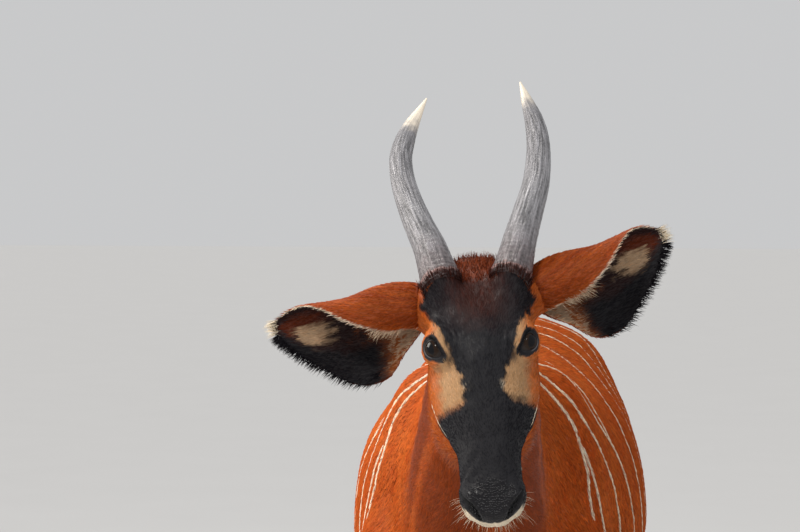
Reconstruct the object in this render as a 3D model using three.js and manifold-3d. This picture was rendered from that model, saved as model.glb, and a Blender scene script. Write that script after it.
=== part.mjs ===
// A standing bongo antelope, life size. Millimetres, +Z up. It faces -Y, and its left side is at +X.
// The flesh is one implicit surface, "the skin": lofts through named cross-sections, smoothly blended.
// Head, neck, torso and legs are rings of rays cast on to that surface, parted by thin cuts.
import * as THREE from "three";
import { mergeVertices } from "three/addons/utils/BufferGeometryUtils.js";
import Module from "manifold-3d";

const wasm = await Module();
wasm.setup();

// Driving dimensions
const SHOULDER_HEIGHT = 1080;
const BARREL_HALF_WIDTH = 240;
const HEAD_PITCH = 64.3; // degrees, nose below the horizon
const HEAD_YAW = 5.1; // degrees, to the animal's left
const HEAD_ROLL = 4.5; // degrees, poll towards the animal's right
const BROW = new THREE.Vector3(42, -905, 1132); // between the eyes, on the forehead
const NOSE_REACH = 223; // from the brow to the tip of the nose, along the face
const EAR_LENGTH = 200;
const GAP = 0.3; // between nodes that meet face to face
const HALF_GAP = GAP / 2;

const V = (x, y, z) => new THREE.Vector3(x, y, z);
const rad = THREE.MathUtils.degToRad;
const lerp = THREE.MathUtils.lerp;
const clamp = THREE.MathUtils.clamp;

// Frames: the head's own axes are x to the animal's left, y up the face to the poll, z out of the forehead.
const forward = V(Math.sin(rad(HEAD_YAW)), -Math.cos(rad(HEAD_YAW)), 0);
const UP = V(0, 0, 1);
const headFrame = (() => {
  const nose = forward
    .clone()
    .multiplyScalar(Math.cos(rad(HEAD_PITCH)))
    .addScaledVector(UP, -Math.sin(rad(HEAD_PITCH)));
  const out = forward
    .clone()
    .multiplyScalar(Math.sin(rad(HEAD_PITCH)))
    .addScaledVector(UP, Math.cos(rad(HEAD_PITCH)));
  nose.applyAxisAngle(forward, rad(HEAD_ROLL));
  out.applyAxisAngle(forward, rad(HEAD_ROLL));
  const up = nose.negate();
  const left = up.clone().cross(out);
  return new THREE.Matrix4().makeBasis(left, up, out).setPosition(BROW);
})();
const headInverse = headFrame.clone().invert();

// A smooth union of two signed distances, which fills the crease between them over the width k.
function blend(a, b, k) {
  const h = Math.max(k - Math.abs(a - b), 0) / k;
  return Math.min(a, b) - (h * h * k) / 4;
}

// Signed distance to an ellipsoid with the given centre, radii and axes (a rotation matrix, or none).
function ellipsoid(centre, radii, turn = null) {
  const inverse = turn ? turn.clone().invert() : null;
  const q = V(0, 0, 0);
  return (p) => {
    q.copy(p).sub(centre);
    if (inverse) q.applyMatrix4(inverse);
    const length = q.length();
    const k = Math.hypot(q.x / radii[0], q.y / radii[1], q.z / radii[2]);
    return k < 1e-6 ? -Math.min(...radii) : (length * (k - 1)) / k;
  };
}

// Signed distance to a cone with round ends, from a with radius ra to b with radius rb.
function roundCone(a, ra, b, rb) {
  const along = b.clone().sub(a);
  const square = along.lengthSq();
  const q = V(0, 0, 0);
  return (p) => {
    q.copy(p).sub(a);
    const t = clamp(q.dot(along) / square, 0, 1);
    q.addScaledVector(along, -t);
    return q.length() - lerp(ra, rb, t);
  };
}

// A loft through cross-sections. Each is a superellipse in its own plane:
// { centre, across, up, a, b, taper, power }, with half width a, half height b, a taper that narrows the top
// and the superellipse's power. Between them every value runs on a smooth cubic.
const CHANNELS = 13;
function channels(s) {
  return [
    ...s.centre.toArray(),
    ...s.across.toArray(),
    ...s.up.toArray(),
    s.a,
    s.b,
    s.taper ?? 0,
    s.power ?? 2,
  ];
}

function makeLoft(sections, startCap, endCap) {
  const rows = sections.map(channels);
  const last = rows.length - 1;
  const normals = sections.map((s) => s.across.clone().cross(s.up).normalize());
  const chord = sections.slice(1).map((s, i) => s.centre.distanceTo(sections[i].centre));
  const slopes = rows.map((row, i) =>
    row.map((value, c) => {
      if (i === 0) return (rows[1][c] - value) / chord[0];
      if (i === last) return (value - rows[i - 1][c]) / chord[i - 1];
      const before = (value - rows[i - 1][c]) / chord[i - 1];
      const after = (rows[i + 1][c] - value) / chord[i];
      return (before * chord[i] + after * chord[i - 1]) / (chord[i] + chord[i - 1]);
    }),
  );
  // The section at place s, where whole numbers are the given sections.
  function at(s) {
    const i = clamp(Math.floor(s), 0, last - 1);
    const t = clamp(s - i, 0, 1);
    const t2 = t * t;
    const t3 = t2 * t;
    const weights = [2 * t3 - 3 * t2 + 1, t3 - 2 * t2 + t, 3 * t2 - 2 * t3, t3 - t2];
    const v = new Array(CHANNELS);
    for (let c = 0; c < CHANNELS; c++)
      v[c] =
        weights[0] * rows[i][c] +
        weights[1] * chord[i] * slopes[i][c] +
        weights[2] * rows[i + 1][c] +
        weights[3] * chord[i] * slopes[i + 1][c];
    const across = V(v[3], v[4], v[5]).normalize();
    const up = V(v[6], v[7], v[8]).normalize();
    return { centre: V(v[0], v[1], v[2]), across, up, a: v[9], b: v[10], taper: v[11], power: v[12] };
  }
  const q = V(0, 0, 0);
  function distance(p) {
    let place = last;
    let beyond = 0;
    let before = q.copy(p).sub(sections[0].centre).dot(normals[0]);
    if (before < 0) {
      place = 0;
      beyond = before / startCap;
    } else {
      for (let i = 1; i <= last; i++) {
        const here = q.copy(p).sub(sections[i].centre).dot(normals[i]);
        if (here < 0) {
          place = i - 1 + before / (before - here);
          break;
        }
        before = here;
        if (i === last) beyond = here / endCap;
      }
    }
    const s = at(place);
    q.copy(p).sub(s.centre);
    const side = q.dot(s.across);
    const height = q.dot(s.up);
    const slim = 1 - s.taper * clamp(height / s.b, -1.3, 1.3);
    const k = Math.hypot(
      (Math.abs(side / (s.a * slim)) ** s.power + Math.abs(height / s.b) ** s.power) ** (1 / s.power),
      beyond,
    );
    const length = q.length();
    return k < 1e-6 ? -Math.min(s.a, s.b) : (length * (k - 1)) / k;
  }
  return { at, distance, last };
}

// The trunk, from the buttocks to the poll: top and bottom are points of the side view as [y, z],
// with the half width, the sideways place of the centre, the taper towards the top and the power.
const TRUNK = [
  { top: [640, 930], bottom: [632, 770], half: 74 },
  { top: [592, 1000], bottom: [582, 690], half: 124, taper: 0.05 },
  { top: [500, 1056], bottom: [486, 652], half: 168, taper: 0.11 },
  { top: [370, 1084], bottom: [356, 628], half: 203, taper: 0.13 },
  { top: [210, 1078], bottom: [200, 580], half: 228, taper: 0.11 },
  { top: [40, 1062], bottom: [40, 548], half: BARREL_HALF_WIDTH, taper: 0.08 },
  { top: [-120, 1058], bottom: [-122, 542], half: 234, taper: 0.07 },
  { top: [-250, 1072], bottom: [-264, 556], half: 207, taper: 0.08 },
  { top: [-345, SHOULDER_HEIGHT], bottom: [-392, 580], half: 170, taper: 0.12 },
  { top: [-430, 1072], bottom: [-510, 640], half: 128, taper: 0.13 },
  { top: [-510, 1076], bottom: [-588, 736], half: 101, taper: 0.12, side: 5 },
  { top: [-590, 1098], bottom: [-648, 828], half: 90, taper: 0.08, side: 13 },
  { top: [-672, 1140], bottom: [-716, 912], half: 81, taper: 0.04, side: 24 },
  { top: [-745, 1190], bottom: [-786, 984], half: 72, side: 34 },
  { top: [-800, 1226], bottom: [-848, 1040], half: 62, side: 41 },
];

function trunkSection(s) {
  const top = V(s.side ?? 0, ...s.top);
  const bottom = V(s.side ?? 0, ...s.bottom);
  return {
    centre: top.clone().lerp(bottom, 0.5),
    across: V(1, 0, 0),
    up: top.clone().sub(bottom).normalize(),
    a: s.half,
    b: top.distanceTo(bottom) / 2,
    taper: s.taper,
    power: 2.15,
  };
}
const trunk = makeLoft(TRUNK.map(trunkSection), 34, 30);

// Legs, as level cross-sections from the body down: height, half width, half depth, and the centre's place
// out to the side and along the body, for a left leg that stands square.
const FORE_LEG = [
  { z: 880, x: 108, y: -330, half: 46, depth: 96 },
  { z: 740, x: 130, y: -402, half: 60, depth: 124 },
  { z: 655, x: 135, y: -378, half: 57, depth: 106 },
  { z: 590, x: 132, y: -360, half: 47, depth: 72 },
  { z: 520, x: 126, y: -362, half: 41, depth: 51 },
  { z: 430, x: 119, y: -369, half: 30, depth: 36 },
  { z: 378, x: 115, y: -374, half: 32, depth: 35 },
  { z: 340, x: 113, y: -376, half: 34, depth: 37 },
  { z: 300, x: 112, y: -372, half: 26, depth: 28 },
  { z: 225, x: 110, y: -369, half: 21, depth: 23 },
  { z: 155, x: 109, y: -371, half: 23, depth: 25 },
  { z: 122, x: 108, y: -374, half: 30, depth: 31 },
  { z: 90, x: 108, y: -388, half: 28, depth: 27 },
  { z: 58, x: 108, y: -408, half: 33, depth: 33 },
];
const HIND_LEG = [
  { z: 900, x: 92, y: 440, half: 60, depth: 126 },
  { z: 780, x: 116, y: 438, half: 70, depth: 156 },
  { z: 690, x: 128, y: 408, half: 68, depth: 144 },
  { z: 605, x: 131, y: 398, half: 53, depth: 104 },
  { z: 520, x: 123, y: 450, half: 38, depth: 62 },
  { z: 455, x: 115, y: 506, half: 28, depth: 42 },
  { z: 405, x: 111, y: 530, half: 31, depth: 44 },
  { z: 345, x: 109, y: 530, half: 26, depth: 31 },
  { z: 240, x: 108, y: 520, half: 22, depth: 26 },
  { z: 160, x: 108, y: 510, half: 23, depth: 27 },
  { z: 125, x: 108, y: 503, half: 30, depth: 33 },
  { z: 92, x: 108, y: 486, half: 28, depth: 28 },
  { z: 58, x: 108, y: 464, half: 33, depth: 33 },
];
// Bones that show under the skin: the elbow, the back of the knee, the hock with its tendon, and the stifle.
const FORE_BONES = [
  { a: [142, -300, 618], ra: 25, b: [138, -322, 570], rb: 24, k: 26 },
  { a: [114, -352, 360], ra: 15, b: [113, -352, 336], rb: 13, k: 14 },
];
const HIND_BONES = [
  { a: [111, 556, 462], ra: 14, b: [121, 498, 570], rb: 24, k: 24 },
  { a: [110, 560, 458], ra: 15, b: [110, 548, 404], rb: 17, k: 18 },
  { a: [140, 322, 640], ra: 36, b: [132, 350, 590], rb: 34, k: 40 },
];
// A leg is parted from the torso at this level under its own axis, on a slope, and inside at this width.
const FORE = {
  sections: FORE_LEG,
  bones: FORE_BONES,
  hang: 700,
  cut: { level: 600, slope: -0.45, inner: 80 },
  along: [-560, -262],
};
const HIND = {
  sections: HIND_LEG,
  bones: HIND_BONES,
  hang: 760,
  cut: { level: 640, slope: 0.35, inner: 30 },
  along: [262, 700],
};
// The stride is how far each foot stands back (or forward, if negative) of a square stance.
const LEGS = {
  front_left: { ...FORE, side: 1, stride: -34 },
  front_right: { ...FORE, side: -1, stride: 30 },
  hind_left: { ...HIND, side: 1, stride: 40 },
  hind_right: { ...HIND, side: -1, stride: -36 },
};

// A point of a left leg that stands square, moved to the side and the stride of this leg.
function legPoint(leg, [x, y, z]) {
  return V(leg.side * x, y + clamp(1 - z / leg.hang, 0, 1) * leg.stride, z);
}

function legSection(leg, s) {
  return {
    centre: legPoint(leg, [s.x, s.y, s.z]),
    across: V(1, 0, 0),
    up: V(0, -1, 0),
    a: s.half,
    b: s.depth,
    power: 2.2,
  };
}

function legField(leg) {
  const loft = makeLoft(
    leg.sections.map((s) => legSection(leg, s)),
    60,
    18,
  );
  const bones = leg.bones.map((bone) => ({
    field: roundCone(legPoint(leg, bone.a), bone.ra, legPoint(leg, bone.b), bone.rb),
    k: bone.k,
  }));
  return {
    loft,
    field: (p) => bones.reduce((d, bone) => blend(d, bone.field(p), bone.k), loft.distance(p)),
  };
}
for (const leg of Object.values(LEGS)) Object.assign(leg, legField(leg));

// The head in its own axes, from poll to nose: place up the face (y), top and bottom (z), half width.
const HEAD = [
  { y: 128, top: -34, bottom: -128, half: 50, power: 2.2 },
  { y: 90, top: -12, bottom: -158, half: 64, taper: 0.02, power: 2.4 },
  { y: 45, top: -2, bottom: -172, half: 69, taper: 0.08, power: 2.4 },
  { y: 0, top: 0, bottom: -168, half: 67, taper: 0.1, power: 2.4 },
  { y: -45, top: -6, bottom: -154, half: 64, taper: 0, power: 2.4 },
  { y: -90, top: -14, bottom: -138, half: 55, taper: -0.05, power: 2.4 },
  { y: -125, top: -21, bottom: -126, half: 46, taper: -0.04, power: 2.5 },
  { y: -158, top: -28, bottom: -117, half: 39, taper: 0, power: 2.5 },
  { y: -186, top: -34, bottom: -112, half: 38, taper: 0.02, power: 2.4 },
  { y: -206, top: -41, bottom: -104, half: 35, taper: 0.04, power: 2.3 },
];
const headLoft = makeLoft(
  HEAD.map((s) => ({
    centre: V(0, s.y, (s.top + s.bottom) / 2),
    across: V(1, 0, 0),
    up: V(0, 0, 1),
    a: s.half,
    b: (s.top - s.bottom) / 2,
    taper: s.taper,
    power: s.power,
  })),
  26,
  NOSE_REACH - 206,
);

const EYE = { centre: V(55, 11, -31), radius: 19.5, lids: [23, 25.2, 23], axis: V(0.56, -0.14, 0.81) };
const EARS = {
  left: { side: 1, root: V(76, 92, -66), along: V(0.9, 0.4, -0.105).normalize() },
  right: { side: -1, root: V(-76, 86, -66), along: V(-0.99, -0.03, -0.114).normalize() },
};
const mirror = (v, side) => V(v.x * side, v.y, v.z);

// Soft forms laid on the head, in its own axes.
const headForms = [1, -1].flatMap((side) => [
  // brow ridge
  { field: ellipsoid(mirror(V(52, 16, -24), side), [22, 32, 20]), k: 22 },
  // lids
  { field: ellipsoid(mirror(EYE.centre, side), EYE.lids.map((r) => r - 0.8)), k: 16 },
  // stem of the horn
  { field: roundCone(mirror(V(36, 60, -34), side), 27, mirror(V(45, 97, -19), side), 27), k: 20 },
  // cheek
  { field: ellipsoid(mirror(V(48, -20, -100), side), [22, 62, 46]), k: 30 },
  // facial crest
  { field: roundCone(mirror(V(54, -38, -66), side), 12, mirror(V(40, -104, -66), side), 9), k: 20 },
  // wing of the nostril
  { field: ellipsoid(mirror(V(24, -196, -60), side), [15, 22, 22]), k: 12 },
  // upper lip
  { field: ellipsoid(mirror(V(20, -196, -84), side), [20, 26, 12]), k: 12 },
]);
for (const ear of Object.values(EARS))
  headForms.push({
    field: roundCone(
      ear.root.clone().multiply(V(0.5, 0.9, 1)),
      36,
      ear.root.clone().addScaledVector(ear.along, 8),
      29,
    ),
    k: 26,
  });
// chin
headForms.push({ field: ellipsoid(V(0, -188, -108), [24, 26, 12]), k: 10 });

function headField(p) {
  let d = headLoft.distance(p);
  for (const form of headForms) d = blend(d, form.field(p), form.k);
  return d;
}

// Masses laid on the trunk: shoulder blades, points of the shoulder, haunches and hips.
const tilt = (degrees) => new THREE.Matrix4().makeRotationX(rad(degrees));
const bodyForms = [1, -1].flatMap((side) => [
  { field: ellipsoid(mirror(V(100, -330, 850), side), [60, 104, 184], tilt(-16)), k: 60 },
  { field: ellipsoid(mirror(V(100, -452, 746), side), [48, 62, 84]), k: 60 },
  { field: ellipsoid(mirror(V(98, 470, 850), side), [82, 138, 150], tilt(14)), k: 70 },
  { field: ellipsoid(mirror(V(88, 330, 980), side), [48, 84, 54]), k: 60 },
]);
bodyForms.push({ field: ellipsoid(V(0, 590, 880), [104, 72, 96]), k: 60 });

// The tail, from its root down to the end of its bone
const TAIL = [
  { at: [0, 600, 968], radius: 32 },
  { at: [0, 660, 963], radius: 23 },
  { at: [0, 690, 938], radius: 17.5 },
  { at: [2, 703, 880], radius: 13.5 },
  { at: [3, 705, 790], radius: 11 },
  { at: [4, 700, 700], radius: 9.5 },
  { at: [4, 695, 620], radius: 8 },
];
const tailPoint = (i) => V(...TAIL[i].at);
const tailStub = roundCone(tailPoint(0), TAIL[0].radius, tailPoint(1), TAIL[1].radius);

function trunkField(p) {
  let d = trunk.distance(p);
  for (const form of bodyForms) d = blend(d, form.field(p), form.k);
  return blend(d, tailStub(p), 30);
}

function bodyField(p) {
  let d = trunkField(p);
  for (const leg of Object.values(LEGS)) d = blend(d, leg.field(p), 46);
  return d;
}

const local = V(0, 0, 0);
const skin = (p) => blend(bodyField(p), headField(local.copy(p).applyMatrix4(headInverse)), 40);

// Distance from an origin along a direction to where the skin ends, or the reach if that is nearer.
const COARSE_STEPS = 26;
const FINE_STEPS = 14;
function castRay(field, origin, direction, reach) {
  const p = V(0, 0, 0);
  const value = (r) => field(p.copy(origin).addScaledVector(direction, r));
  let inside = 0;
  let outside = reach;
  for (let i = 1; i <= COARSE_STEPS; i++) {
    const r = (reach * i) / COARSE_STEPS;
    if (value(r) > 0) {
      outside = r;
      break;
    }
    inside = r;
  }
  if (inside === reach) return reach;
  for (let i = 0; i < FINE_STEPS; i++) {
    const middle = (inside + outside) / 2;
    if (value(middle) > 0) outside = middle;
    else inside = middle;
  }
  return inside;
}

// A closed mesh from rings of points, with both ends closed on the mean of the end ring.
function ringsToSolid(rings) {
  const sides = rings[0].length;
  const points = rings.flat();
  const triangles = [];
  for (let i = 0; i + 1 < rings.length; i++)
    for (let j = 0; j < sides; j++) {
      const a = i * sides + j;
      const b = i * sides + ((j + 1) % sides);
      triangles.push([a, b, b + sides], [a, b + sides, a + sides]);
    }
  for (const [ring, turned] of [
    [0, true],
    [rings.length - 1, false],
  ]) {
    const middle = points.length;
    points.push(rings[ring].reduce((sum, p) => sum.add(p), V(0, 0, 0)).divideScalar(sides));
    for (let j = 0; j < sides; j++) {
      const a = ring * sides + j;
      const b = ring * sides + ((j + 1) % sides);
      triangles.push(turned ? [b, a, middle] : [a, b, middle]);
    }
  }
  return toSolid(points, triangles);
}

// The same for rings that double back on themselves, where each end is closed as a strip between its halves.
function ringStripSolid(rings) {
  const sides = rings[0].length;
  const triangles = [];
  for (let i = 0; i + 1 < rings.length; i++)
    for (let j = 0; j < sides; j++) {
      const a = i * sides + j;
      const b = i * sides + ((j + 1) % sides);
      triangles.push([a, b, b + sides], [a, b + sides, a + sides]);
    }
  const last = (rings.length - 1) * sides;
  for (let j = 0; j + 1 < sides / 2; j++) {
    const k = sides - 1 - j;
    triangles.push([j, k, k - 1], [j, k - 1, j + 1]);
    triangles.push([last + j, last + k - 1, last + k], [last + j, last + j + 1, last + k - 1]);
  }
  return toSolid(rings.flat(), triangles);
}

function toSolid(points, triangles) {
  const make = (faces) =>
    new wasm.Manifold(
      new wasm.Mesh({
        numProp: 3,
        vertProperties: new Float32Array(points.flatMap((p) => [p.x, p.y, p.z])),
        triVerts: new Uint32Array(faces.flat()),
      }),
    );
  const made = make(triangles);
  return made.volume() > 0 ? made : make(triangles.map(([a, b, c]) => [a, c, b]));
}

function geometryOf(solid) {
  const mesh = solid.getMesh();
  const geometry = new THREE.BufferGeometry();
  const positions = new Float32Array(mesh.numVert * 3);
  for (let i = 0; i < mesh.numVert; i++)
    for (let c = 0; c < 3; c++) positions[3 * i + c] = mesh.vertProperties[i * mesh.numProp + c];
  geometry.setAttribute("position", new THREE.BufferAttribute(positions, 3));
  geometry.setIndex(new THREE.BufferAttribute(new Uint32Array(mesh.triVerts), 1));
  geometry.computeVertexNormals();
  return geometry;
}

// A three.js geometry as a solid, in the place that the matrix gives it.
function solidOfGeometry(geometry, matrix = new THREE.Matrix4()) {
  const bare = geometry.clone().applyMatrix4(matrix);
  bare.deleteAttribute("normal");
  bare.deleteAttribute("uv");
  const merged = mergeVertices(bare, 1e-3);
  const points = [];
  for (let i = 0; i < merged.attributes.position.count; i++)
    points.push(V(0, 0, 0).fromBufferAttribute(merged.attributes.position, i));
  const triangles = [];
  for (let i = 0; i < merged.index.count; i += 3)
    triangles.push([merged.index.getX(i), merged.index.getX(i + 1), merged.index.getX(i + 2)]);
  return toSolid(points, triangles);
}

// A large block on the far side of a plane, to cut with.
const BLOCK = 4000;
function halfSpace(point, normal) {
  const turn = new THREE.Quaternion().setFromUnitVectors(V(0, 0, 1), normal.clone().normalize());
  const place = new THREE.Matrix4().compose(point, turn, V(1, 1, 1));
  return solidOfGeometry(new THREE.BoxGeometry(BLOCK, BLOCK, BLOCK).translate(0, 0, BLOCK / 2), place);
}

// The largest closed body of a solid, so that no loose scrap stays.
function largest(solid) {
  return solid.decompose().sort((a, b) => b.volume() - a.volume())[0];
}

// Rings of a skin tube: rays cast in each section's plane, and fanned out of it over a closed end.
function skinTube(field, loft, { places, sides, reach, startFan = 0, endFan = 0 }) {
  const rings = [];
  const ring = (section, lift) => {
    const axis = section.across.clone().cross(section.up);
    const points = [];
    for (let j = 0; j < sides; j++) {
      const angle = (2 * Math.PI * (j + 0.5)) / sides;
      const direction = section.across
        .clone()
        .multiplyScalar(section.a * Math.cos(angle))
        .addScaledVector(section.up, section.b * Math.sin(angle))
        .normalize()
        .multiplyScalar(Math.cos(lift))
        .addScaledVector(axis, Math.sin(lift));
      const r = castRay(field, section.centre, direction, reach);
      points.push(section.centre.clone().addScaledVector(direction, r));
    }
    return points;
  };
  const first = loft.at(places[0]);
  for (let i = startFan; i > 0; i--) rings.push(ring(first, (-i / (startFan + 0.35)) * (Math.PI / 2)));
  for (const place of places) rings.push(ring(loft.at(place), 0));
  const final = loft.at(places[places.length - 1]);
  for (let i = 1; i <= endFan; i++) rings.push(ring(final, (i / (endFan + 0.35)) * (Math.PI / 2)));
  return ringsToSolid(rings);
}

const range = (from, to, count) => Array.from({ length: count }, (_, i) => lerp(from, to, i / (count - 1)));

// Materials, with colours from life
const paint = (colour, roughness) =>
  new THREE.MeshStandardMaterial({ color: new THREE.Color(colour), roughness, metalness: 0 });
const CHESTNUT = paint("#9a4420", 0.75);
const DARK_FACE = paint("#2c2424", 0.7);
const HORN = paint("#7d7673", 0.5);
const EYE_BROWN = paint("#140d0a", 0.1);
const HOOF = paint("#2a2522", 0.55);

const animal = new THREE.Group();
function addNode(parent, name, solid, material) {
  const mesh = new THREE.Mesh(geometryOf(largest(solid)), material);
  mesh.name = name;
  parent.add(mesh);
}

// A tube of round or oval sections along a list of points. Each ring is { at, across, up, a, b }, or the
// radius is given and the frame is carried along the path without twist.
function sweep(points, radii, sides, flat = 1, normal = V(1, 0, 0)) {
  const rings = [];
  const across = normal.clone();
  points.forEach((point, i) => {
    const before = points[Math.max(i - 1, 0)];
    const after = points[Math.min(i + 1, points.length - 1)];
    const tangent = after.clone().sub(before).normalize();
    across.addScaledVector(tangent, -across.dot(tangent)).normalize();
    const up = tangent.clone().cross(across);
    rings.push(
      range(0, 1, sides + 1)
        .slice(0, sides)
        .map((turn) =>
          point
            .clone()
            .addScaledVector(across, radii[i] * Math.cos(2 * Math.PI * turn))
            .addScaledVector(up, radii[i] * flat * Math.sin(2 * Math.PI * turn)),
        ),
    );
  });
  return ringsToSolid(rings);
}

// A smooth curve through rows of numbers, read at count places from 0 to 1.
function smoothRows(rows, count) {
  const curves = rows[0].map((_, c) => rows.map((row) => row[c]));
  const read = (values, t) => {
    const i = clamp(Math.floor(t), 0, values.length - 2);
    const u = t - i;
    const at = (k) => values[clamp(k, 0, values.length - 1)];
    const from = (at(i + 1) - at(i - 1)) / 2;
    const to = (at(i + 2) - at(i)) / 2;
    return (
      (2 * u ** 3 - 3 * u ** 2 + 1) * at(i) +
      (u ** 3 - 2 * u ** 2 + u) * from +
      (3 * u ** 2 - 2 * u ** 3) * at(i + 1) +
      (u ** 3 - u ** 2) * to
    );
  };
  return range(0, rows.length - 1, count).map((t) => curves.map((values) => read(values, t)));
}

// Chance that is the same in every run.
let seed = 20240;
function chance(low, high) {
  seed = (seed * 1103515245 + 12345) % 2147483648;
  return lerp(low, high, seed / 2147483648);
}

// A lock of hair: a flat blade that starts sunk in the flesh, bends from the way it stands to the way it
// lies, and tapers to a blunt tip. Its sections are flat triangles with a low ridge. A blade that is edge on
// is broad in the plane it bends in; any other is broad across it.
const LOCK_STEPS = [-0.22, 0.2, 0.62, 1];
const LOCK_WIDTHS = [0.8, 1, 0.58, 0.1];
function lock(root, stand, lie, { length, width, thickness, edgeOn = false }) {
  const side = stand.clone().cross(lie).normalize();
  const rings = LOCK_STEPS.map((t, i) => {
    const bend = clamp(t, 0, 1);
    const centre = root
      .clone()
      .addScaledVector(stand, length * (t - 0.5 * bend * bend))
      .addScaledVector(lie, length * 0.5 * bend * bend);
    const tangent = stand.clone().lerp(lie, bend).normalize();
    const inward = tangent.clone().cross(side).normalize();
    const [broad, thin] = edgeOn ? [inward, side] : [side, inward];
    const wide = (width / 2) * LOCK_WIDTHS[i];
    const deep = (thickness / 2) * Math.max(LOCK_WIDTHS[i], 0.3);
    return [
      centre.clone().addScaledVector(broad, wide).addScaledVector(thin, -deep),
      centre.clone().addScaledVector(thin, deep),
      centre.clone().addScaledVector(broad, -wide).addScaledVector(thin, -deep),
    ];
  });
  return ringsToSolid(rings);
}

// Torso and neck: one tube along the trunk, parted from the legs, from the head and from each other.
const NECK_CUT = { point: V(0, -470, 860), normal: V(0, -1, 0.32).normalize() };
// The head ends at a plane behind the horns, ears and jaw, in the head's own axes.
const HEAD_CUT = { point: V(0, 66, -141), normal: V(0, 0.573, -0.82).normalize() };
const HEAD_CUT_WORLD = {
  point: HEAD_CUT.point.clone().applyMatrix4(headFrame),
  normal: HEAD_CUT.normal.clone().transformDirection(headFrame),
};
const cutBlock = ({ point, normal }, shift) =>
  halfSpace(point.clone().addScaledVector(normal, shift), normal);

// Head and neck flow together at that plane. In front of it each keeps to its own shape, so that the jaw
// stands clear of the throat: the part that the other plays is taken away over this reach.
const PARTING = 40;
const APART = 60;
const behindHead = (p) => local.copy(p).sub(HEAD_CUT_WORLD.point).dot(HEAD_CUT_WORLD.normal);
const parting = (p) => APART * (1 - THREE.MathUtils.smoothstep(behindHead(p), -PARTING, -4));
const headPart = (p) => headField(local.copy(p).applyMatrix4(headInverse));
const neckSkin = (p) => blend(bodyField(p), headPart(p) + parting(p), 40);
const worldPoint = V(0, 0, 0);
function headSkin(p) {
  worldPoint.copy(p).applyMatrix4(headFrame);
  const joined = blend(bodyField(worldPoint) + parting(worldPoint), headField(p), 40);
  return Math.max(joined, behindHead(worldPoint) - 12);
}
const headTube = skinTube(headSkin, headLoft, {
  places: range(0.9, headLoft.last, 27),
  sides: 30,
  reach: 230,
  startFan: 3,
  endFan: 4,
});
// A thin slice of body that no node owns would be lost, so legs own all that lies in their own block.
const BLOCK_WIDTH = 400;
const BLOCK_DEPTH = 300; // below the floor
function legBlock(leg, grow) {
  const { level, slope, inner } = leg.cut;
  const [front, back] = leg.along;
  const box = new THREE.BoxGeometry(BLOCK_WIDTH, back - front + 2 * grow, level + BLOCK_DEPTH);
  const middle = (front + back) / 2;
  box.translate(leg.side * (inner + BLOCK_WIDTH / 2 - grow), middle, (level - BLOCK_DEPTH) / 2 + grow);
  const shear = new THREE.Matrix4().makeShear(0, 0, 0, slope, 0, 0);
  const lower = new THREE.Matrix4().makeTranslation(0, 0, -slope * leg.sections[3].y);
  return solidOfGeometry(box, lower.multiply(shear));
}

const trunkTube = skinTube(neckSkin, trunk, {
  places: [...range(0, 9, 20), ...range(9.4, 13.9, 11)],
  sides: 24,
  reach: 420,
  startFan: 4,
});

const MANE = { from: 1, to: 8.5, count: 46 };
function maneLocks() {
  const locks = [];
  for (let i = 0; i < MANE.count; i++) {
    const place = lerp(MANE.from, MANE.to, (i + chance(0.35, 0.65)) / MANE.count);
    const section = trunk.at(place);
    const aside = chance(-1, 1);
    const from = section.centre.clone().addScaledVector(section.across, 8 * aside);
    const root = from.clone().addScaledVector(section.up, castRay(skin, from, section.up, 420));
    const stand = section.up.clone().addScaledVector(section.across, 0.16 * aside).normalize();
    const tall = Math.sin(Math.PI * clamp((place - MANE.from) / (MANE.to - MANE.from), 0.08, 0.9));
    const lie = V(chance(-0.2, 0.2), 0.76, 0.62).normalize();
    const length = lerp(34, 56, tall) * chance(0.85, 1.15);
    const blade = { length, width: chance(27, 34), thickness: chance(8, 11), edgeOn: true };
    locks.push(lock(root, stand, lie, blade));
  }
  return locks;
}

let torso = trunkTube.subtract(cutBlock(NECK_CUT, -HALF_GAP));
for (const leg of Object.values(LEGS)) torso = torso.subtract(legBlock(leg, HALF_GAP));
for (const piece of maneLocks()) torso = torso.add(piece);
const tailHole = new THREE.BoxGeometry(70, 100, 90);
tailHole.translate(0, TAIL[1].at[1] - HALF_GAP + 50, TAIL[1].at[2] + 3);
torso = torso.subtract(solidOfGeometry(tailHole));
addNode(animal, "torso", torso, CHESTNUT);

// The room that each ear takes, beyond the end of its stump on the head
const EAR_CUT = 14;
const earRoom = Object.values(EARS)
  .map((ear) => sweep([EAR_CUT, 90].map((t) => ear.root.clone().addScaledVector(ear.along, t)), [50, 50], 16))
  .reduce((a, b) => a.add(b));
const inWorld = (solid) => solid.transform(headFrame.toArray());
const neck = trunkTube
  .intersect(cutBlock(NECK_CUT, HALF_GAP))
  .intersect(cutBlock(HEAD_CUT_WORLD, HALF_GAP))
  .subtract(inWorld(earRoom));
addNode(animal, "neck", neck, CHESTNUT);

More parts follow.
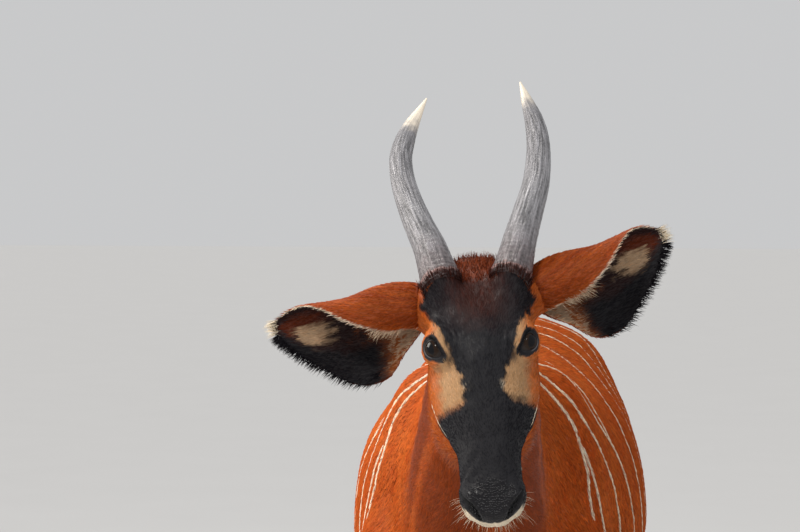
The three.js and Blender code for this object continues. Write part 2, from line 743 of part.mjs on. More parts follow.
// Tail: a tapered stalk with a tuft of long locks about its end.
const tailRows = smoothRows(
  TAIL.slice(1).map((t) => [...t.at, t.radius]),
  12,
);
const tailPath = tailRows.map(([x, y, z]) => V(x, y, z));
let tail = sweep(
  tailPath,
  tailRows.map((row) => row[3]),
  8,
);
const TUFT_LOCKS = 13;
for (let i = 0; i < TUFT_LOCKS; i++) {
  const t = lerp(0.58, 0.97, i / (TUFT_LOCKS - 1));
  const at = tailPath[Math.round(t * (tailPath.length - 1))];
  const angle = i * 2.4;
  const stand = V(Math.cos(angle), Math.sin(angle), -0.9).normalize();
  const lie = V(0.12 * Math.cos(angle), 0.12 * Math.sin(angle), -1).normalize();
  const blade = { length: chance(80, 125), width: chance(17, 23), thickness: chance(7, 9) };
  tail = tail.add(lock(at.clone().addScaledVector(stand, 5), stand, lie, blade));
}
tail = tail.subtract(cutBlock({ point: tailPoint(1), normal: V(0, -1, 0) }, -HALF_GAP));
addNode(animal, "tail", tail, CHESTNUT);

// Feet: each has two main claws under it and two small ones behind the fetlock.
const CLAW_STEPS = [
  // height, centre back from the leg's end, half length, half width
  [0, -14, 48, 16.6],
  [8, -14.5, 49, 17.6],
  [25, -10, 43, 17.8],
  [42, -4, 37, 17.2],
  [58 - GAP, 0, 33.4, 16.4],
];
function claw(side) {
  const rings = CLAW_STEPS.map(([z, y, length, width]) =>
    range(0, 1, 11)
      .slice(0, 10)
      .map((turn) => {
        const angle = 2 * Math.PI * turn;
        const s = Math.sin(angle);
        const narrow = 1 - 0.28 * Math.max(-s, 0) ** 2;
        const x = Math.sign(Math.cos(angle)) * Math.abs(Math.cos(angle)) ** 0.8 * width * narrow;
        return V(side * (width + 1.3) + x, y + length * s, z);
      }),
  );
  return ringsToSolid(rings);
}

const DEW_CLAWS = {
  front: { top: V(15, 24, 118), end: V(20, 42, 92) },
  hind: { top: V(15, 26, 122), end: V(20, 44, 96) },
};
const dewClaw = ({ top, end }, side, grow) =>
  sweep(
    range(0, 1, 4).map((t) => mirror(top.clone().lerp(end, t), side)),
    [9, 10, 9, 4.2].map((radius) => radius + grow),
    6,
    0.8,
  );

// Legs
for (const [name, leg] of Object.entries(LEGS)) {
  const end = leg.loft.at(leg.loft.last).centre;
  const fetlock = legPoint(leg, leg.sections === FORE_LEG ? [108, -382, 106] : [108, 494, 108]);
  const kind = leg.sections === FORE_LEG ? "front" : "hind";
  let tube = skinTube(skin, leg.loft, {
    places: [...range(1.3, 2.6, 3), ...range(3.1, leg.loft.last, 18)],
    sides: 10,
    reach: 210,
  }).intersect(legBlock(leg, -HALF_GAP));
  const feet = new THREE.Group();
  feet.name = "foot_" + name;
  feet.position.set(end.x, end.y, 0);
  animal.add(feet);
  for (const [place, side] of [
    ["outer", leg.side],
    ["inner", -leg.side],
  ]) {
    addNode(feet, `hoof_${name}_${place}`, claw(side), HOOF);
    const shift = V(fetlock.x - end.x, fetlock.y - end.y, 0);
    const spot = DEW_CLAWS[kind];
    const moved = { top: spot.top, end: spot.end };
    tube = tube.subtract(dewClaw(moved, side, GAP).translate([fetlock.x, fetlock.y, 0]));
    addNode(feet, `dewclaw_${name}_${place}`, dewClaw(moved, side, 0).translate(shift.toArray()), HOOF);
  }
  addNode(animal, "leg_" + name, tube, CHESTNUT);
}

// Head and all it carries, in the head's own axes
const head = new THREE.Group();
head.applyMatrix4(headFrame);
animal.add(head);
const throat = trunkTube.intersect(cutBlock(NECK_CUT, 0)).transform(headInverse.toArray());
let headSolid = headTube.add(throat).subtract(cutBlock(HEAD_CUT, -HALF_GAP));

// Hair between the horns, lying forward over the brow
for (let i = 0; i < 9; i++) {
  const from = V(chance(-13, 13), lerp(92, 128, i / 8), -60);
  const stand = V(from.x * 0.012, 0.35, 0.94).normalize();
  const root = from.clone().addScaledVector(stand, castRay(headField, from, stand, 120) - 1);
  const lie = V(chance(-0.5, 0.5), chance(-0.9, -0.5), 0.5).normalize();
  const blade = { length: chance(20, 30), width: chance(12, 17), thickness: chance(4, 6) };
  headSolid = headSolid.add(lock(root, stand, lie, blade));
}

// Nostrils and the line of the mouth, cut where rays from inside the muzzle come out.
const onHead = (from, towards, sunk) => {
  const direction = towards.clone().sub(from).normalize();
  return from.clone().addScaledVector(direction, castRay(headField, from, direction, 120) - sunk);
};
const NOSTRIL = [
  [11, -232, -56, 3],
  [19, -230, -50, 5.2],
  [28, -222, -50, 6],
  [36, -208, -56, 4.6],
  [40, -196, -62, 2.6],
];
const MOUTH = [
  [66, -136, -90],
  [62, -160, -95],
  [50, -196, -97],
  [34, -214, -95],
  [14, -226, -92],
];
for (const side of [1, -1]) {
  const inside = V(0, -176, -72);
  const nostril = NOSTRIL.map(([x, y, z]) => onHead(inside, V(side * x, y, z), 1));
  const radii = NOSTRIL.map((row) => row[3]);
  headSolid = headSolid.subtract(sweep(nostril, radii, 8, 0.8));
}
const lips = [...MOUTH, ...MOUTH.toReversed().map(([x, y, z]) => [-x, y, z])];
const mouth = lips.map(([x, y, z]) => onHead(V(0, -150, -88), V(x, y, z), 0.4));
headSolid = headSolid.subtract(sweep(mouth, mouth.map(() => 2.4), 5, 1, V(0, 0, 1)));

// Horns: grey and round, leaning back, bowed out and then in again at the tips; the right one bows in sooner.
// Each row is out to the side, up, forward and the radius.
const HORNS = {
  left: [
    [46, 101, -17, 28.6],
    [54, 129, -24, 25.6],
    [62, 158, -31, 23.6],
    [77, 205, -44, 21.2],
    [90, 248, -58, 19.4],
    [97, 291, -70, 17.7],
    [99, 325, -77, 16.2],
    [96, 356, -79, 13.6],
    [88, 386, -75, 8.6],
    [81, 410, -67, 2.2],
  ],
  right: [
    [-46, 101, -17, 28.6],
    [-52, 129, -24, 25.4],
    [-58, 156, -30, 23.2],
    [-69, 191, -40, 21],
    [-79, 227, -52, 19.2],
    [-88, 270, -64, 17.6],
    [-90, 308, -73, 16.4],
    [-84, 335, -78, 14.9],
    [-72, 363, -79, 11.2],
    [-49, 398, -71, 2.2],
  ],
};
for (const [name, path] of Object.entries(HORNS)) {
  const rows = smoothRows(path, 17);
  const points = rows.map(([x, y, z]) => V(x, y, z));
  const shape = sweep(
    points,
    rows.map((row) => row[3]),
    11,
  );
  const root = points[0];
  const lean = V(Math.sign(root.x) * 0.26, 0.93, -0.25).normalize();
  const socket = sweep(
    range(0, 1, 3).map((t) => root.clone().addScaledVector(lean, 80 * t)),
    [29.6, 28.2, 26],
    16,
  );
  headSolid = headSolid.subtract(socket);
  const base = cutBlock({ point: root, normal: lean.clone().negate() }, -GAP);
  addNode(head, "horn_" + name, shape.subtract(base), HORN);
}

// Eyes and their lids: the ball shows through an opening that slants down towards the nose.
const EYE_LONG = V(0.2, 1, -0.1);
function eyeOpening(side) {
  const axis = mirror(EYE.axis, side).normalize();
  const points = range(8, 60, 2).map((r) => mirror(EYE.centre, side).addScaledVector(axis, r));
  return sweep(points, [17, 23], 14, 0.86, mirror(EYE_LONG, side));
}
for (const [name, side] of [
  ["left", 1],
  ["right", -1],
]) {
  const place = new THREE.Matrix4().setPosition(mirror(EYE.centre, side));
  const ball = (grow) => solidOfGeometry(new THREE.SphereGeometry(EYE.radius + grow, 14, 9), place);
  const lids = solidOfGeometry(new THREE.SphereGeometry(1, 16, 10).scale(...EYE.lids), place);
  headSolid = headSolid.add(lids).subtract(ball(GAP)).subtract(eyeOpening(side));
  addNode(head, "eye_" + name, ball(0), EYE_BROWN);
}

// Ears: a leaf of gristle rolled into a tube at its root, which opens out and turns to face forward. Rows
// give the place along the ear, the half width of the leaf, the half angle it is rolled through, how far its
// opening is turned down, how far its middle hangs below the axis, and its thickness.
const EAR_ROWS = [
  [0, 84, 165, 56, 0, 8],
  [0.15, 87, 140, 56, 12, 7.4],
  [0.3, 88, 108, 52, 25, 6.4],
  [0.5, 80, 84, 44, 30, 5.4],
  [0.7, 60, 66, 30, 20, 4.4],
  [0.85, 38, 54, 18, 11, 3.8],
  [0.95, 19, 46, 10, 4, 3],
  [1, 8, 40, 6, 0, 2.4],
];
const EAR_TUBE = 29;
const VIEW_FROM = V(0, -0.357, 0.934); // the way the openings face, in the head's own axes
function earLeaf(ear) {
  const along = ear.along.clone().normalize();
  const out = VIEW_FROM.clone().addScaledVector(along, -VIEW_FROM.dot(along)).normalize();
  const down = along.clone().cross(out).multiplyScalar(ear.side);
  const rows = smoothRows(EAR_ROWS, 12);
  // A point of the leaf at row i, at place s from its lower edge (-1) to its upper, off its middle by lift.
  const point = (i, s, lift) => {
    const [t, width, roll, turn, hang, thick] = rows[i];
    const angle = rad(roll);
    const radius = width / angle;
    const [cos, sin] = [Math.cos(rad(turn)), Math.sin(rad(turn))];
    const face = out.clone().multiplyScalar(cos).addScaledVector(down, sin);
    const across = out.clone().multiplyScalar(sin).addScaledVector(down, -cos);
    const centre = ear.root
      .clone()
      .addScaledVector(along, t * EAR_LENGTH)
      .addScaledVector(face, radius - EAR_TUBE + 10 * t * t)
      .addScaledVector(down, hang);
    const spoke = across.multiplyScalar(Math.sin(angle * s)).addScaledVector(face, -Math.cos(angle * s));
    return centre.addScaledVector(spoke, radius + lift * thick * (1 - 0.35 * s * s));
  };
  return { rows, point, along, out, down };
}

function earShell({ rows, point }) {
  const across = range(-1, 1, 9);
  const rings = rows.map((_, i) => [
    ...across.map((s) => point(i, s, 0.5)),
    ...across.toReversed().map((s) => point(i, s, -0.5)),
  ]);
  return ringStripSolid(rings);
}

function ear(spec) {
  const leaf = earLeaf(spec);
  const middle = (t) => spec.root.clone().addScaledVector(leaf.along, t);
  let solid = earShell(leaf).add(sweep([2, 11, 18, 22].map(middle), [27, 25, 18, 7], 12));
  const count = leaf.rows.length;
  for (let n = 0; n < 13; n++) {
    const i = Math.round(lerp(3, count - 2, n / 12));
    const edge = leaf.point(i, -1, 0);
    const inner = leaf.point(i, -0.86, 0);
    const stand = edge.clone().sub(inner).normalize();
    edge.addScaledVector(leaf.along, chance(-5, 5)).addScaledVector(stand, -2);
    const lie = stand.clone().lerp(leaf.along, 0.75).normalize();
    const size = { length: chance(18, 24), width: chance(15, 18), thickness: chance(2.8, 3.6) };
    solid = solid.add(lock(edge, stand, lie, { ...size, edgeOn: true }));
  }
  return solid.subtract(cutBlock({ point: middle(EAR_CUT), normal: leaf.along.clone().negate() }, -GAP));
}

for (const [name, spec] of Object.entries(EARS)) addNode(head, "ear_" + name, ear(spec), CHESTNUT);

addNode(head, "head", headSolid.subtract(earRoom), DARK_FACE);

// The origin is on the floor, under the middle of the whole animal.
const bounds = new THREE.Box3().setFromObject(animal, true);
const centre = bounds.getCenter(V(0, 0, 0));
animal.position.set(-centre.x, -centre.y, -bounds.min.z);
animal.updateMatrixWorld(true);

export default animal;
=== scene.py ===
"""A standing bongo antelope, life size: its skin, coat, horns, ears, eyes and hooves.

Shapes are worked out in millimetres in the animal's frame: it faces -Y, its left side is +X and up is +Z.
The head has axes of its own: x to the animal's left, y up the face to the poll, z out of the forehead.
"""

import math
from collections import namedtuple
from functools import lru_cache

import bpy
import numpy as np
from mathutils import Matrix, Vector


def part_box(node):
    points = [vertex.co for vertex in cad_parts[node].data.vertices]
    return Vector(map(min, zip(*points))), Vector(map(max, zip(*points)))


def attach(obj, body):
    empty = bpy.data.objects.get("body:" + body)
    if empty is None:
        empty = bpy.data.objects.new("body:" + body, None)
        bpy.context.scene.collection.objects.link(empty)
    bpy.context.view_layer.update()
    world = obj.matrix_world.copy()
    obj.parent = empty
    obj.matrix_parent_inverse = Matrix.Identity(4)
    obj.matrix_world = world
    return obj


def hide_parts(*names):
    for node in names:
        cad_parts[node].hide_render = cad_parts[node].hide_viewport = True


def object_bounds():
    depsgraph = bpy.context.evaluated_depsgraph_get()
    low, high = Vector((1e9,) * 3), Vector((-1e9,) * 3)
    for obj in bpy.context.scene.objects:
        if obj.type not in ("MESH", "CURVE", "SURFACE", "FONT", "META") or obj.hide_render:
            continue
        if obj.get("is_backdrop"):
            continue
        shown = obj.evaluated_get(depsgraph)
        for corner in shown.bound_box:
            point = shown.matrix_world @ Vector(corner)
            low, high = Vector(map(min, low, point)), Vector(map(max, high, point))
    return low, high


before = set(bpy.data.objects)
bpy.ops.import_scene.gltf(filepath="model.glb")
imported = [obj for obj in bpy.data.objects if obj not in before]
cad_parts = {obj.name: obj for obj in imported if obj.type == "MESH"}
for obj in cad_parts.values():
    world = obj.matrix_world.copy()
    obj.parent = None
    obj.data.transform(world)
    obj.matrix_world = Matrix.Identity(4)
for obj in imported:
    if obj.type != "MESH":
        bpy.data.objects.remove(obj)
CAD_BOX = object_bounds()

bl_info = {
    "name": "Bongo antelope",
    "version": (1, 0, 0),
    "blender": (4, 5, 0),
    "location": "3D View > Sidebar > Bongo",
    "description": "Builds the skin, coat and fine parts of a standing bongo antelope round its frame",
    "category": "Object",
}

# Basic arithmetic on arrays of points


def unit(v):
    """Each vector divided by its length."""
    return v / np.maximum(np.linalg.norm(v, axis=-1, keepdims=True), 1e-12)


def mix(a, b, t):
    """The value t of the way from a to b."""
    return a + (b - a) * t


def step(low, high, x):
    """A smooth step, 3 t^2 - 2 t^3, from 0 at low to 1 at high."""
    t = np.clip((x - low) / (high - low), 0, 1)
    return t * t * (3 - 2 * t)


def bell(x, middle, width):
    """A bell curve, exp(-((x - middle) / width)^2)."""
    return np.exp(-(((x - middle) / width) ** 2))


def dot(a, b):
    """The dot product of rows of vectors."""
    return np.einsum("...i,...i->...", a, b)


def mirrored(v, side):
    """A point of the left side, moved to the side +1 or -1."""
    return np.array([v[0] * side, v[1], v[2]], float)


def hermite(rows, t):
    """Rows of numbers read at the places t on a smooth cubic through them (Catmull-Rom)."""
    rows = np.asarray(rows, float)
    last = len(rows) - 1
    i = np.clip(np.floor(t).astype(int), 0, last - 1)
    u = (t - i)[:, None]
    before, here, after, beyond = (rows[np.clip(i + k, 0, last)] for k in (-1, 0, 1, 2))
    start, end = (after - before) / 2, (beyond - here) / 2
    u2, u3 = u * u, u * u * u
    value = (2 * u3 - 3 * u2 + 1) * here + (u3 - 2 * u2 + u) * start
    return value + (3 * u2 - 2 * u3) * after + (u3 - u2) * end


# Driving dimensions of the frame
SHOULDER_HEIGHT = 1080
BARREL_HALF_WIDTH = 240
HEAD_PITCH = math.radians(64.3)
HEAD_YAW = math.radians(5.1)
HEAD_ROLL = math.radians(4.5)
BROW = np.array([42.0, -905.0, 1132.0])
NOSE_REACH = 223
EAR_LENGTH = 200


def head_axes():
    """The head's axes as columns: forward tipped down by the pitch, then all rolled about forward."""
    forward = np.array([math.sin(HEAD_YAW), -math.cos(HEAD_YAW), 0])
    up = np.array([0, 0, 1.0])
    nose = forward * math.cos(HEAD_PITCH) - up * math.sin(HEAD_PITCH)
    out = forward * math.sin(HEAD_PITCH) + up * math.cos(HEAD_PITCH)
    c, s = math.cos(HEAD_ROLL), math.sin(HEAD_ROLL)
    nose, out = (v * c + np.cross(forward, v) * s + forward * dot(forward, v) * (1 - c) for v in (nose, out))
    return np.stack([np.cross(-nose, out), -nose, out], axis=1)


HEAD_AXES = head_axes()


def to_head(p):
    return (p - BROW) @ HEAD_AXES


def from_head(q):
    return BROW + q @ HEAD_AXES.T


EYE = np.array([55.0, 11.0, -31.0])
EYE_RADIUS = 19.5
EYE_LIDS = np.array([23, 25.2, 23])
EYE_AXIS = unit(np.array([0.56, -0.14, 0.81]))

# The frame's origin is under the middle of the whole animal: where the left eye lies gives the shift.
SHIFT = np.mean([np.array(corner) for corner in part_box("eye_left")], axis=0) - from_head(EYE) / 1000

# Signed distances to the forms of the body, in millimetres

Form = namedtuple("Form", "distance low high width")


def ellipsoid(centre, radii, width, turn=0.0):
    """A scaled sphere turned about x: with k = |q / radii|, the distance is |q| (k - 1) / k."""
    centre, radii = np.asarray(centre, float), np.asarray(radii, float)
    c, s = math.cos(turn), math.sin(turn)
    axes = np.array([[1, 0, 0], [0, c, -s], [0, s, c]])
    reach = np.abs(axes) @ radii

    def distance(p):
        q = (p - centre) @ axes
        k = np.maximum(np.linalg.norm(q / radii, axis=1), 1e-6)
        return np.linalg.norm(q, axis=1) * (k - 1) / k

    return Form(distance, centre - reach, centre + reach, width)


def round_cone(a, ra, b, rb, width):
    """A cone with round ends: the distance to the line from a to b, less the radius there."""
    a, b = np.asarray(a, float), np.asarray(b, float)
    along = b - a

    def distance(p):
        q = p - a
        t = np.clip(q @ along / (along @ along), 0, 1)
        return np.linalg.norm(q - t[:, None] * along, axis=1) - mix(ra, rb, t)

    return Form(distance, np.minimum(a - ra, b - rb), np.maximum(a + ra, b + rb), width)


def joined(d, p, form, width=None):
    """The smooth union min(a, b) - h^2 k / 4, h = max(k - |a - b|, 0) / k, only where the form is near."""
    k = form.width if width is None else width
    gap = np.linalg.norm(np.maximum(np.maximum(form.low - p, p - form.high), 0), axis=1)
    near = gap < d + np.max(k)
    if not near.any():
        return d
    a, b = d[near], form.distance(p[near])
    k = k if np.isscalar(k) else k[near]
    h = np.maximum(k - np.abs(a - b), 0) / k
    d = d.copy()
    d[near] = np.minimum(a, b) - h * h * k / 4
    return d


class Loft:
    """A tube through cross-sections. Each is a superellipse |x / (a slim)|^n + |y / b|^n = 1 in its
    plane, where slim = 1 - taper y / b narrows its top. Between sections every value runs on a cubic."""

    def __init__(self, sections, start_cap, end_cap):
        self.rows = np.array([np.hstack(section) for section in sections], float)
        self.caps = start_cap, end_cap
        self.last = len(sections) - 1
        self.normals = unit(np.cross(self.rows[:, 3:6], self.rows[:, 6:9]))
        self.offsets = dot(self.rows[:, :3], self.normals)
        self.chord = np.linalg.norm(np.diff(self.rows[:, :3], axis=0), axis=1)[:, None]
        steps = np.diff(self.rows, axis=0) / self.chord
        before, after = self.chord[:-1], self.chord[1:]
        inner = (steps[:-1] * after + steps[1:] * before) / (before + after)
        self.slopes = np.vstack([steps[:1], inner, steps[-1:]])

    def at(self, s):
        """Centre, across, up, half width, half height, taper and power at the places s."""
        i = np.clip(np.floor(s).astype(int), 0, self.last - 1)
        t = np.clip(s - i, 0, 1)[:, None]
        t2, t3, chord = t * t, t * t * t, self.chord[i]
        v = (2 * t3 - 3 * t2 + 1) * self.rows[i] + (t3 - 2 * t2 + t) * chord * self.slopes[i]
        v += (3 * t2 - 2 * t3) * self.rows[i + 1] + (t3 - t2) * chord * self.slopes[i + 1]
        return v[:, :3], unit(v[:, 3:6]), unit(v[:, 6:9]), *v[:, 9:].T

    def place(self, p):
        """The place of each point between the planes of the sections, and how far it is past either end."""
        d = p @ self.normals.T - self.offsets
        ahead = d[:, 1:] < 0
        i = np.argmax(ahead, axis=1)
        rows = np.arange(len(p))
        s = i + np.clip(d[rows, i] / np.maximum(d[rows, i] - d[rows, i + 1], 1e-9), 0, 1)
        past = ~ahead.any(axis=1)
        s[past] = self.last
        beyond = np.where(past, d[:, -1] / self.caps[1], 0)
        first = d[:, 0] < 0
        s[first] = 0
        return s, np.where(first, d[:, 0] / self.caps[0], beyond)

    def distance(self, p):
        s, beyond = self.place(p)
        centre, across, up, a, b, taper, power = self.at(s)
        q = p - centre
        side, height = dot(q, across), dot(q, up)
        slim = 1 - taper * np.clip(height / b, -1.3, 1.3)
        flat = (np.abs(side / (a * slim)) ** power + np.abs(height / b) ** power) ** (1 / power)
        k = np.maximum(np.hypot(flat, beyond), 1e-6)
        return np.linalg.norm(q, axis=1) * (k - 1) / k

    def form(self, width):
        reach = np.maximum(self.rows[:, 9], self.rows[:, 10])[:, None] * 1.1
        low, high = (self.rows[:, :3] - reach).min(axis=0), (self.rows[:, :3] + reach).max(axis=0)
        return Form(self.distance, low, high, width)


# The trunk from the buttocks to the poll: top y and z, bottom y and z, half width, taper, place to the side
TRUNK = [
    (640, 930, 632, 770, 74, 0, 0),
    (592, 1000, 582, 690, 124, 0.05, 0),
    (500, 1056, 486, 652, 168, 0.11, 0),
    (370, 1084, 356, 628, 203, 0.13, 0),
    (210, 1078, 200, 580, 228, 0.11, 0),
    (40, 1062, 40, 548, BARREL_HALF_WIDTH, 0.08, 0),
    (-120, 1058, -122, 542, 234, 0.07, 0),
    (-250, 1072, -264, 556, 207, 0.08, 0),
    (-345, SHOULDER_HEIGHT, -392, 580, 170, 0.12, 0),
    (-430, 1072, -510, 640, 128, 0.13, 0),
    (-510, 1076, -588, 736, 101, 0.12, 5),
    (-590, 1098, -648, 828, 90, 0.08, 13),
    (-672, 1140, -716, 912, 81, 0.04, 24),
    (-745, 1190, -786, 984, 72, 0, 34),
    (-800, 1226, -848, 1040, 62, 0, 41),
]


def trunk_section(row):
    top_y, top_z, bottom_y, bottom_z, half, taper, side = row
    top, bottom = np.array([side, top_y, top_z]), np.array([side, bottom_y, bottom_z])
    tall = np.linalg.norm(top - bottom)
    return (top + bottom) / 2, (1, 0, 0), (top - bottom) / tall, half, tall / 2, taper, 2.15


trunk = Loft([trunk_section(row) for row in TRUNK], 34, 30)

# Legs, as level sections of a left leg that stands square: height, x, y, half width, half depth
FORE_LEG = [
    (880, 108, -330, 46, 96),
    (740, 130, -402, 60, 124),
    (655, 135, -378, 57, 106),
    (590, 132, -360, 47, 72),
    (520, 126, -362, 41, 51),
    (430, 119, -369, 30, 36),
    (378, 115, -374, 32, 35),
    (340, 113, -376, 34, 37),
    (300, 112, -372, 26, 28),
    (225, 110, -369, 21, 23),
    (155, 109, -371, 23, 25),
    (122, 108, -374, 30, 31),
    (90, 108, -388, 28, 27),
    (58, 108, -408, 33, 33),
]
HIND_LEG = [
    (900, 92, 440, 60, 126),
    (780, 116, 438, 70, 156),
    (690, 128, 408, 68, 144),
    (605, 131, 398, 53, 104),
    (520, 123, 450, 38, 62),
    (455, 115, 506, 28, 42),
    (405, 111, 530, 31, 44),
    (345, 109, 530, 26, 31),
    (240, 108, 520, 22, 26),
    (160, 108, 510, 23, 27),
    (125, 108, 503, 30, 33),
    (92, 108, 486, 28, 28),
    (58, 108, 464, 33, 33),
]
# Bones that show: a point and radius, a second point and radius, and the width of the blend
FORE_BONES = [
    ((142, -300, 618), 25, (138, -322, 570), 24, 26),
    ((114, -352, 360), 15, (113, -352, 336), 13, 14),
]
HIND_BONES = [
    ((111, 556, 462), 14, (121, 498, 570), 24, 24),
    ((110, 560, 458), 15, (110, 548, 404), 17, 18),
    ((140, 322, 640), 36, (132, 350, 590), 34, 40),
]
Leg = namedtuple("Leg", "name sections bones hang side stride fetlock")
LEGS = [
    Leg("front_left", FORE_LEG, FORE_BONES, 700, 1, -34, (108, -382, 106)),
    Leg("front_right", FORE_LEG, FORE_BONES, 700, -1, 30, (108, -382, 106)),
    Leg("hind_left", HIND_LEG, HIND_BONES, 760, 1, 40, (108, 494, 108)),
    Leg("hind_right", HIND_LEG, HIND_BONES, 760, -1, -36, (108, 494, 108)),
]


def leg_point(leg, point):
    """A point of a left leg that stands square, moved to the side and the stride of this leg."""
    x, y, z = point
    return np.array([leg.side * x, y + np.clip(1 - z / leg.hang, 0, 1) * leg.stride, z])


def leg_section(leg, row):
    z, x, y, half_width, half_depth = row
    return leg_point(leg, (x, y, z)), (1, 0, 0), (0, -1, 0), half_width, half_depth, 0, 2.2


def leg_loft(leg):
    return Loft([leg_section(leg, row) for row in leg.sections], 60, 18)


LEG_LOFTS = {leg.name: leg_loft(leg) for leg in LEGS}


def leg_form(leg):
    loft = LEG_LOFTS[leg.name]
    whole = loft.form(46)
    bones = [round_cone(leg_point(leg, a), ra, leg_point(leg, b), rb, k) for a, ra, b, rb, k in leg.bones]

    def distance(p):
        d = loft.distance(p)
        for bone in bones:
            d = joined(d, p, bone)
        return d

    return Form(distance, whole.low - 12, whole.high + 12, 46)


# The head in its own axes, from poll to nose: y, top z, bottom z, half width, taper, power
HEAD = [
    (128, -34, -128, 50, 0, 2.2),
    (90, -12, -158, 64, 0.02, 2.4),
    (45, -2, -172, 69, 0.08, 2.4),
    (0, 0, -168, 67, 0.1, 2.4),
    (-45, -6, -154, 64, 0, 2.4),
    (-90, -14, -138, 55, -0.05, 2.4),
    (-125, -21, -126, 46, -0.04, 2.5),
    (-158, -28, -117, 39, 0, 2.5),
    (-186, -34, -112, 38, 0.02, 2.4),
    (-206, -41, -104, 35, 0.04, 2.3),
]


def head_section(row):
    y, top, bottom, half, taper, power = row
    return (0, y, (top + bottom) / 2), (1, 0, 0), (0, 0, 1), half, (top - bottom) / 2, taper, power


head = Loft([head_section(row) for row in HEAD], 26, NOSE_REACH - 206)

Ear = namedtuple("Ear", "name side root along")
EARS = [
    Ear("left", 1, np.array([76.0, 92, -66]), unit(np.array([0.9, 0.4, -0.105]))),
    Ear("right", -1, np.array([-76.0, 86, -66]), unit(np.array([-0.99, -0.03, -0.114]))),
]


def head_forms():
    forms = []
    for side in (1, -1):
        brow = ellipsoid(mirrored((52, 16, -24), side), (22, 32, 20), 22)
        lids = ellipsoid(mirrored(EYE, side), EYE_LIDS - 0.8, 16)
        stem = round_cone(mirrored((36, 60, -34), side), 27, mirrored((45, 97, -19), side), 27, 20)
        cheek = ellipsoid(mirrored((48, -20, -100), side), (22, 62, 46), 30)
        crest = round_cone(mirrored((54, -38, -66), side), 12, mirrored((40, -104, -66), side), 9, 20)
        wing = ellipsoid(mirrored((24, -196, -60), side), (15, 22, 22), 12)
        lip = ellipsoid(mirrored((20, -196, -84), side), (20, 26, 12), 12)
        forms += [brow, lids, stem, cheek, crest, wing, lip]
    for ear in EARS:
        forms.append(round_cone(ear.root * (0.5, 0.9, 1), 36, ear.root + ear.along * 8, 29, 26))
    chin = ellipsoid((0, -188, -108), (24, 26, 12), 10)
    return [*forms, chin]


HEAD_FORMS = head_forms()


def head_distance(q):
    """The signed distance to the head, from points in its own axes."""
    d = head.distance(q)
    for form in HEAD_FORMS:
        d = joined(d, q, form)
    return d


def body_forms():
    """Masses laid on the trunk: shoulder blades and points, haunches, hips, rump and tail root."""
    forms = []
    for side in (1, -1):
        forms.append(ellipsoid(mirrored((100, -330, 850), side), (60, 104, 184), 60, math.radians(-16)))
        forms.append(ellipsoid(mirrored((100, -452, 746), side), (48, 62, 84), 60))
        forms.append(ellipsoid(mirrored((98, 470, 850), side), (82, 138, 150), 70, math.radians(14)))
        forms.append(ellipsoid(mirrored((88, 330, 980), side), (48, 84, 54), 60))
    forms.append(ellipsoid((0, 590, 880), (104, 72, 96), 60))
    forms.append(round_cone((0, 600, 968), 32, (0, 660, 963), 23, 30))
    return forms


BODY_FORMS = [*body_forms(), *(leg_form(leg) for leg in LEGS)]
# Behind this plane head and neck flow together over 40 mm; before it the jaw stands clear of the throat.
HEAD_CUT = from_head(np.array([0, 66, -141]))
HEAD_CUT_NORMAL = HEAD_AXES @ unit(np.array([0, 0.573, -0.82]))
PARTING = 40
HEAD_LOW = np.array([-110, -975, 880])
HEAD_HIGH = np.array([190, -690, 1300])
HEAD_FORM = Form(lambda p: head_distance(to_head(p)), HEAD_LOW, HEAD_HIGH, 40)


def behind_head(p):
    """How far points lie behind the plane between head and neck."""
    return (p - HEAD_CUT) @ HEAD_CUT_NORMAL


def body_distance(p):
    """The signed distance to the whole animal's flesh, without the coat's depth."""
    d = trunk.distance(p)
    for form in BODY_FORMS:
        d = joined(d, p, form)
    return joined(d, p, HEAD_FORM, mix(12, 40, step(-PARTING, -4, behind_head(p))))


def coat_depth(p):
    """How far the skin lies inside the solids: 3 mm on the body, and 1.2 mm on the face and the feet."""
    q = to_head(p)
    on_face = (1 - step(60, 120, q[:, 1])) * (1 - step(-190, -160, -q[:, 2]))
    return 3 - 1.8 * np.maximum(on_face, 1 - step(380, 600, p[:, 2]))


def skin_distance(p):
    return body_distance(p) + coat_depth(p)


# The lattice on which the skin is found
LATTICE_LOW = np.array([-272.0, -976, 32])
LATTICE_HIGH = np.array([272.0, 720, 1280])
# A cell's corners, and its edges as pairs of corners one step apart
CORNERS = np.indices((2, 2, 2)).reshape(3, -1).T
PAIRS = np.argwhere(np.triu(np.ones((8, 8))))
EDGES = PAIRS[np.abs(CORNERS[PAIRS[:, 0]] - CORNERS[PAIRS[:, 1]]).sum(axis=1) == 1]


def lattice_distances(distance, cell, skip=4):
    """Distances on a lattice: on every fourth node everywhere, and on every node only near the surface."""
    blocks = np.ceil((LATTICE_HIGH - LATTICE_LOW) / (cell * skip)).astype(int)
    rough_at = np.indices(blocks + 1).reshape(3, -1).T
    rough = distance(LATTICE_LOW + rough_at * (cell * skip)).reshape(blocks + 1)
    nearest = [np.round(np.arange(n * skip + 1) / skip).astype(int) for n in blocks]
    values = rough[np.ix_(*nearest)]
    near = np.argwhere(np.abs(values) < 1.9 * cell * skip)
    values[tuple(near.T)] = distance(LATTICE_LOW + near * cell)
    return values


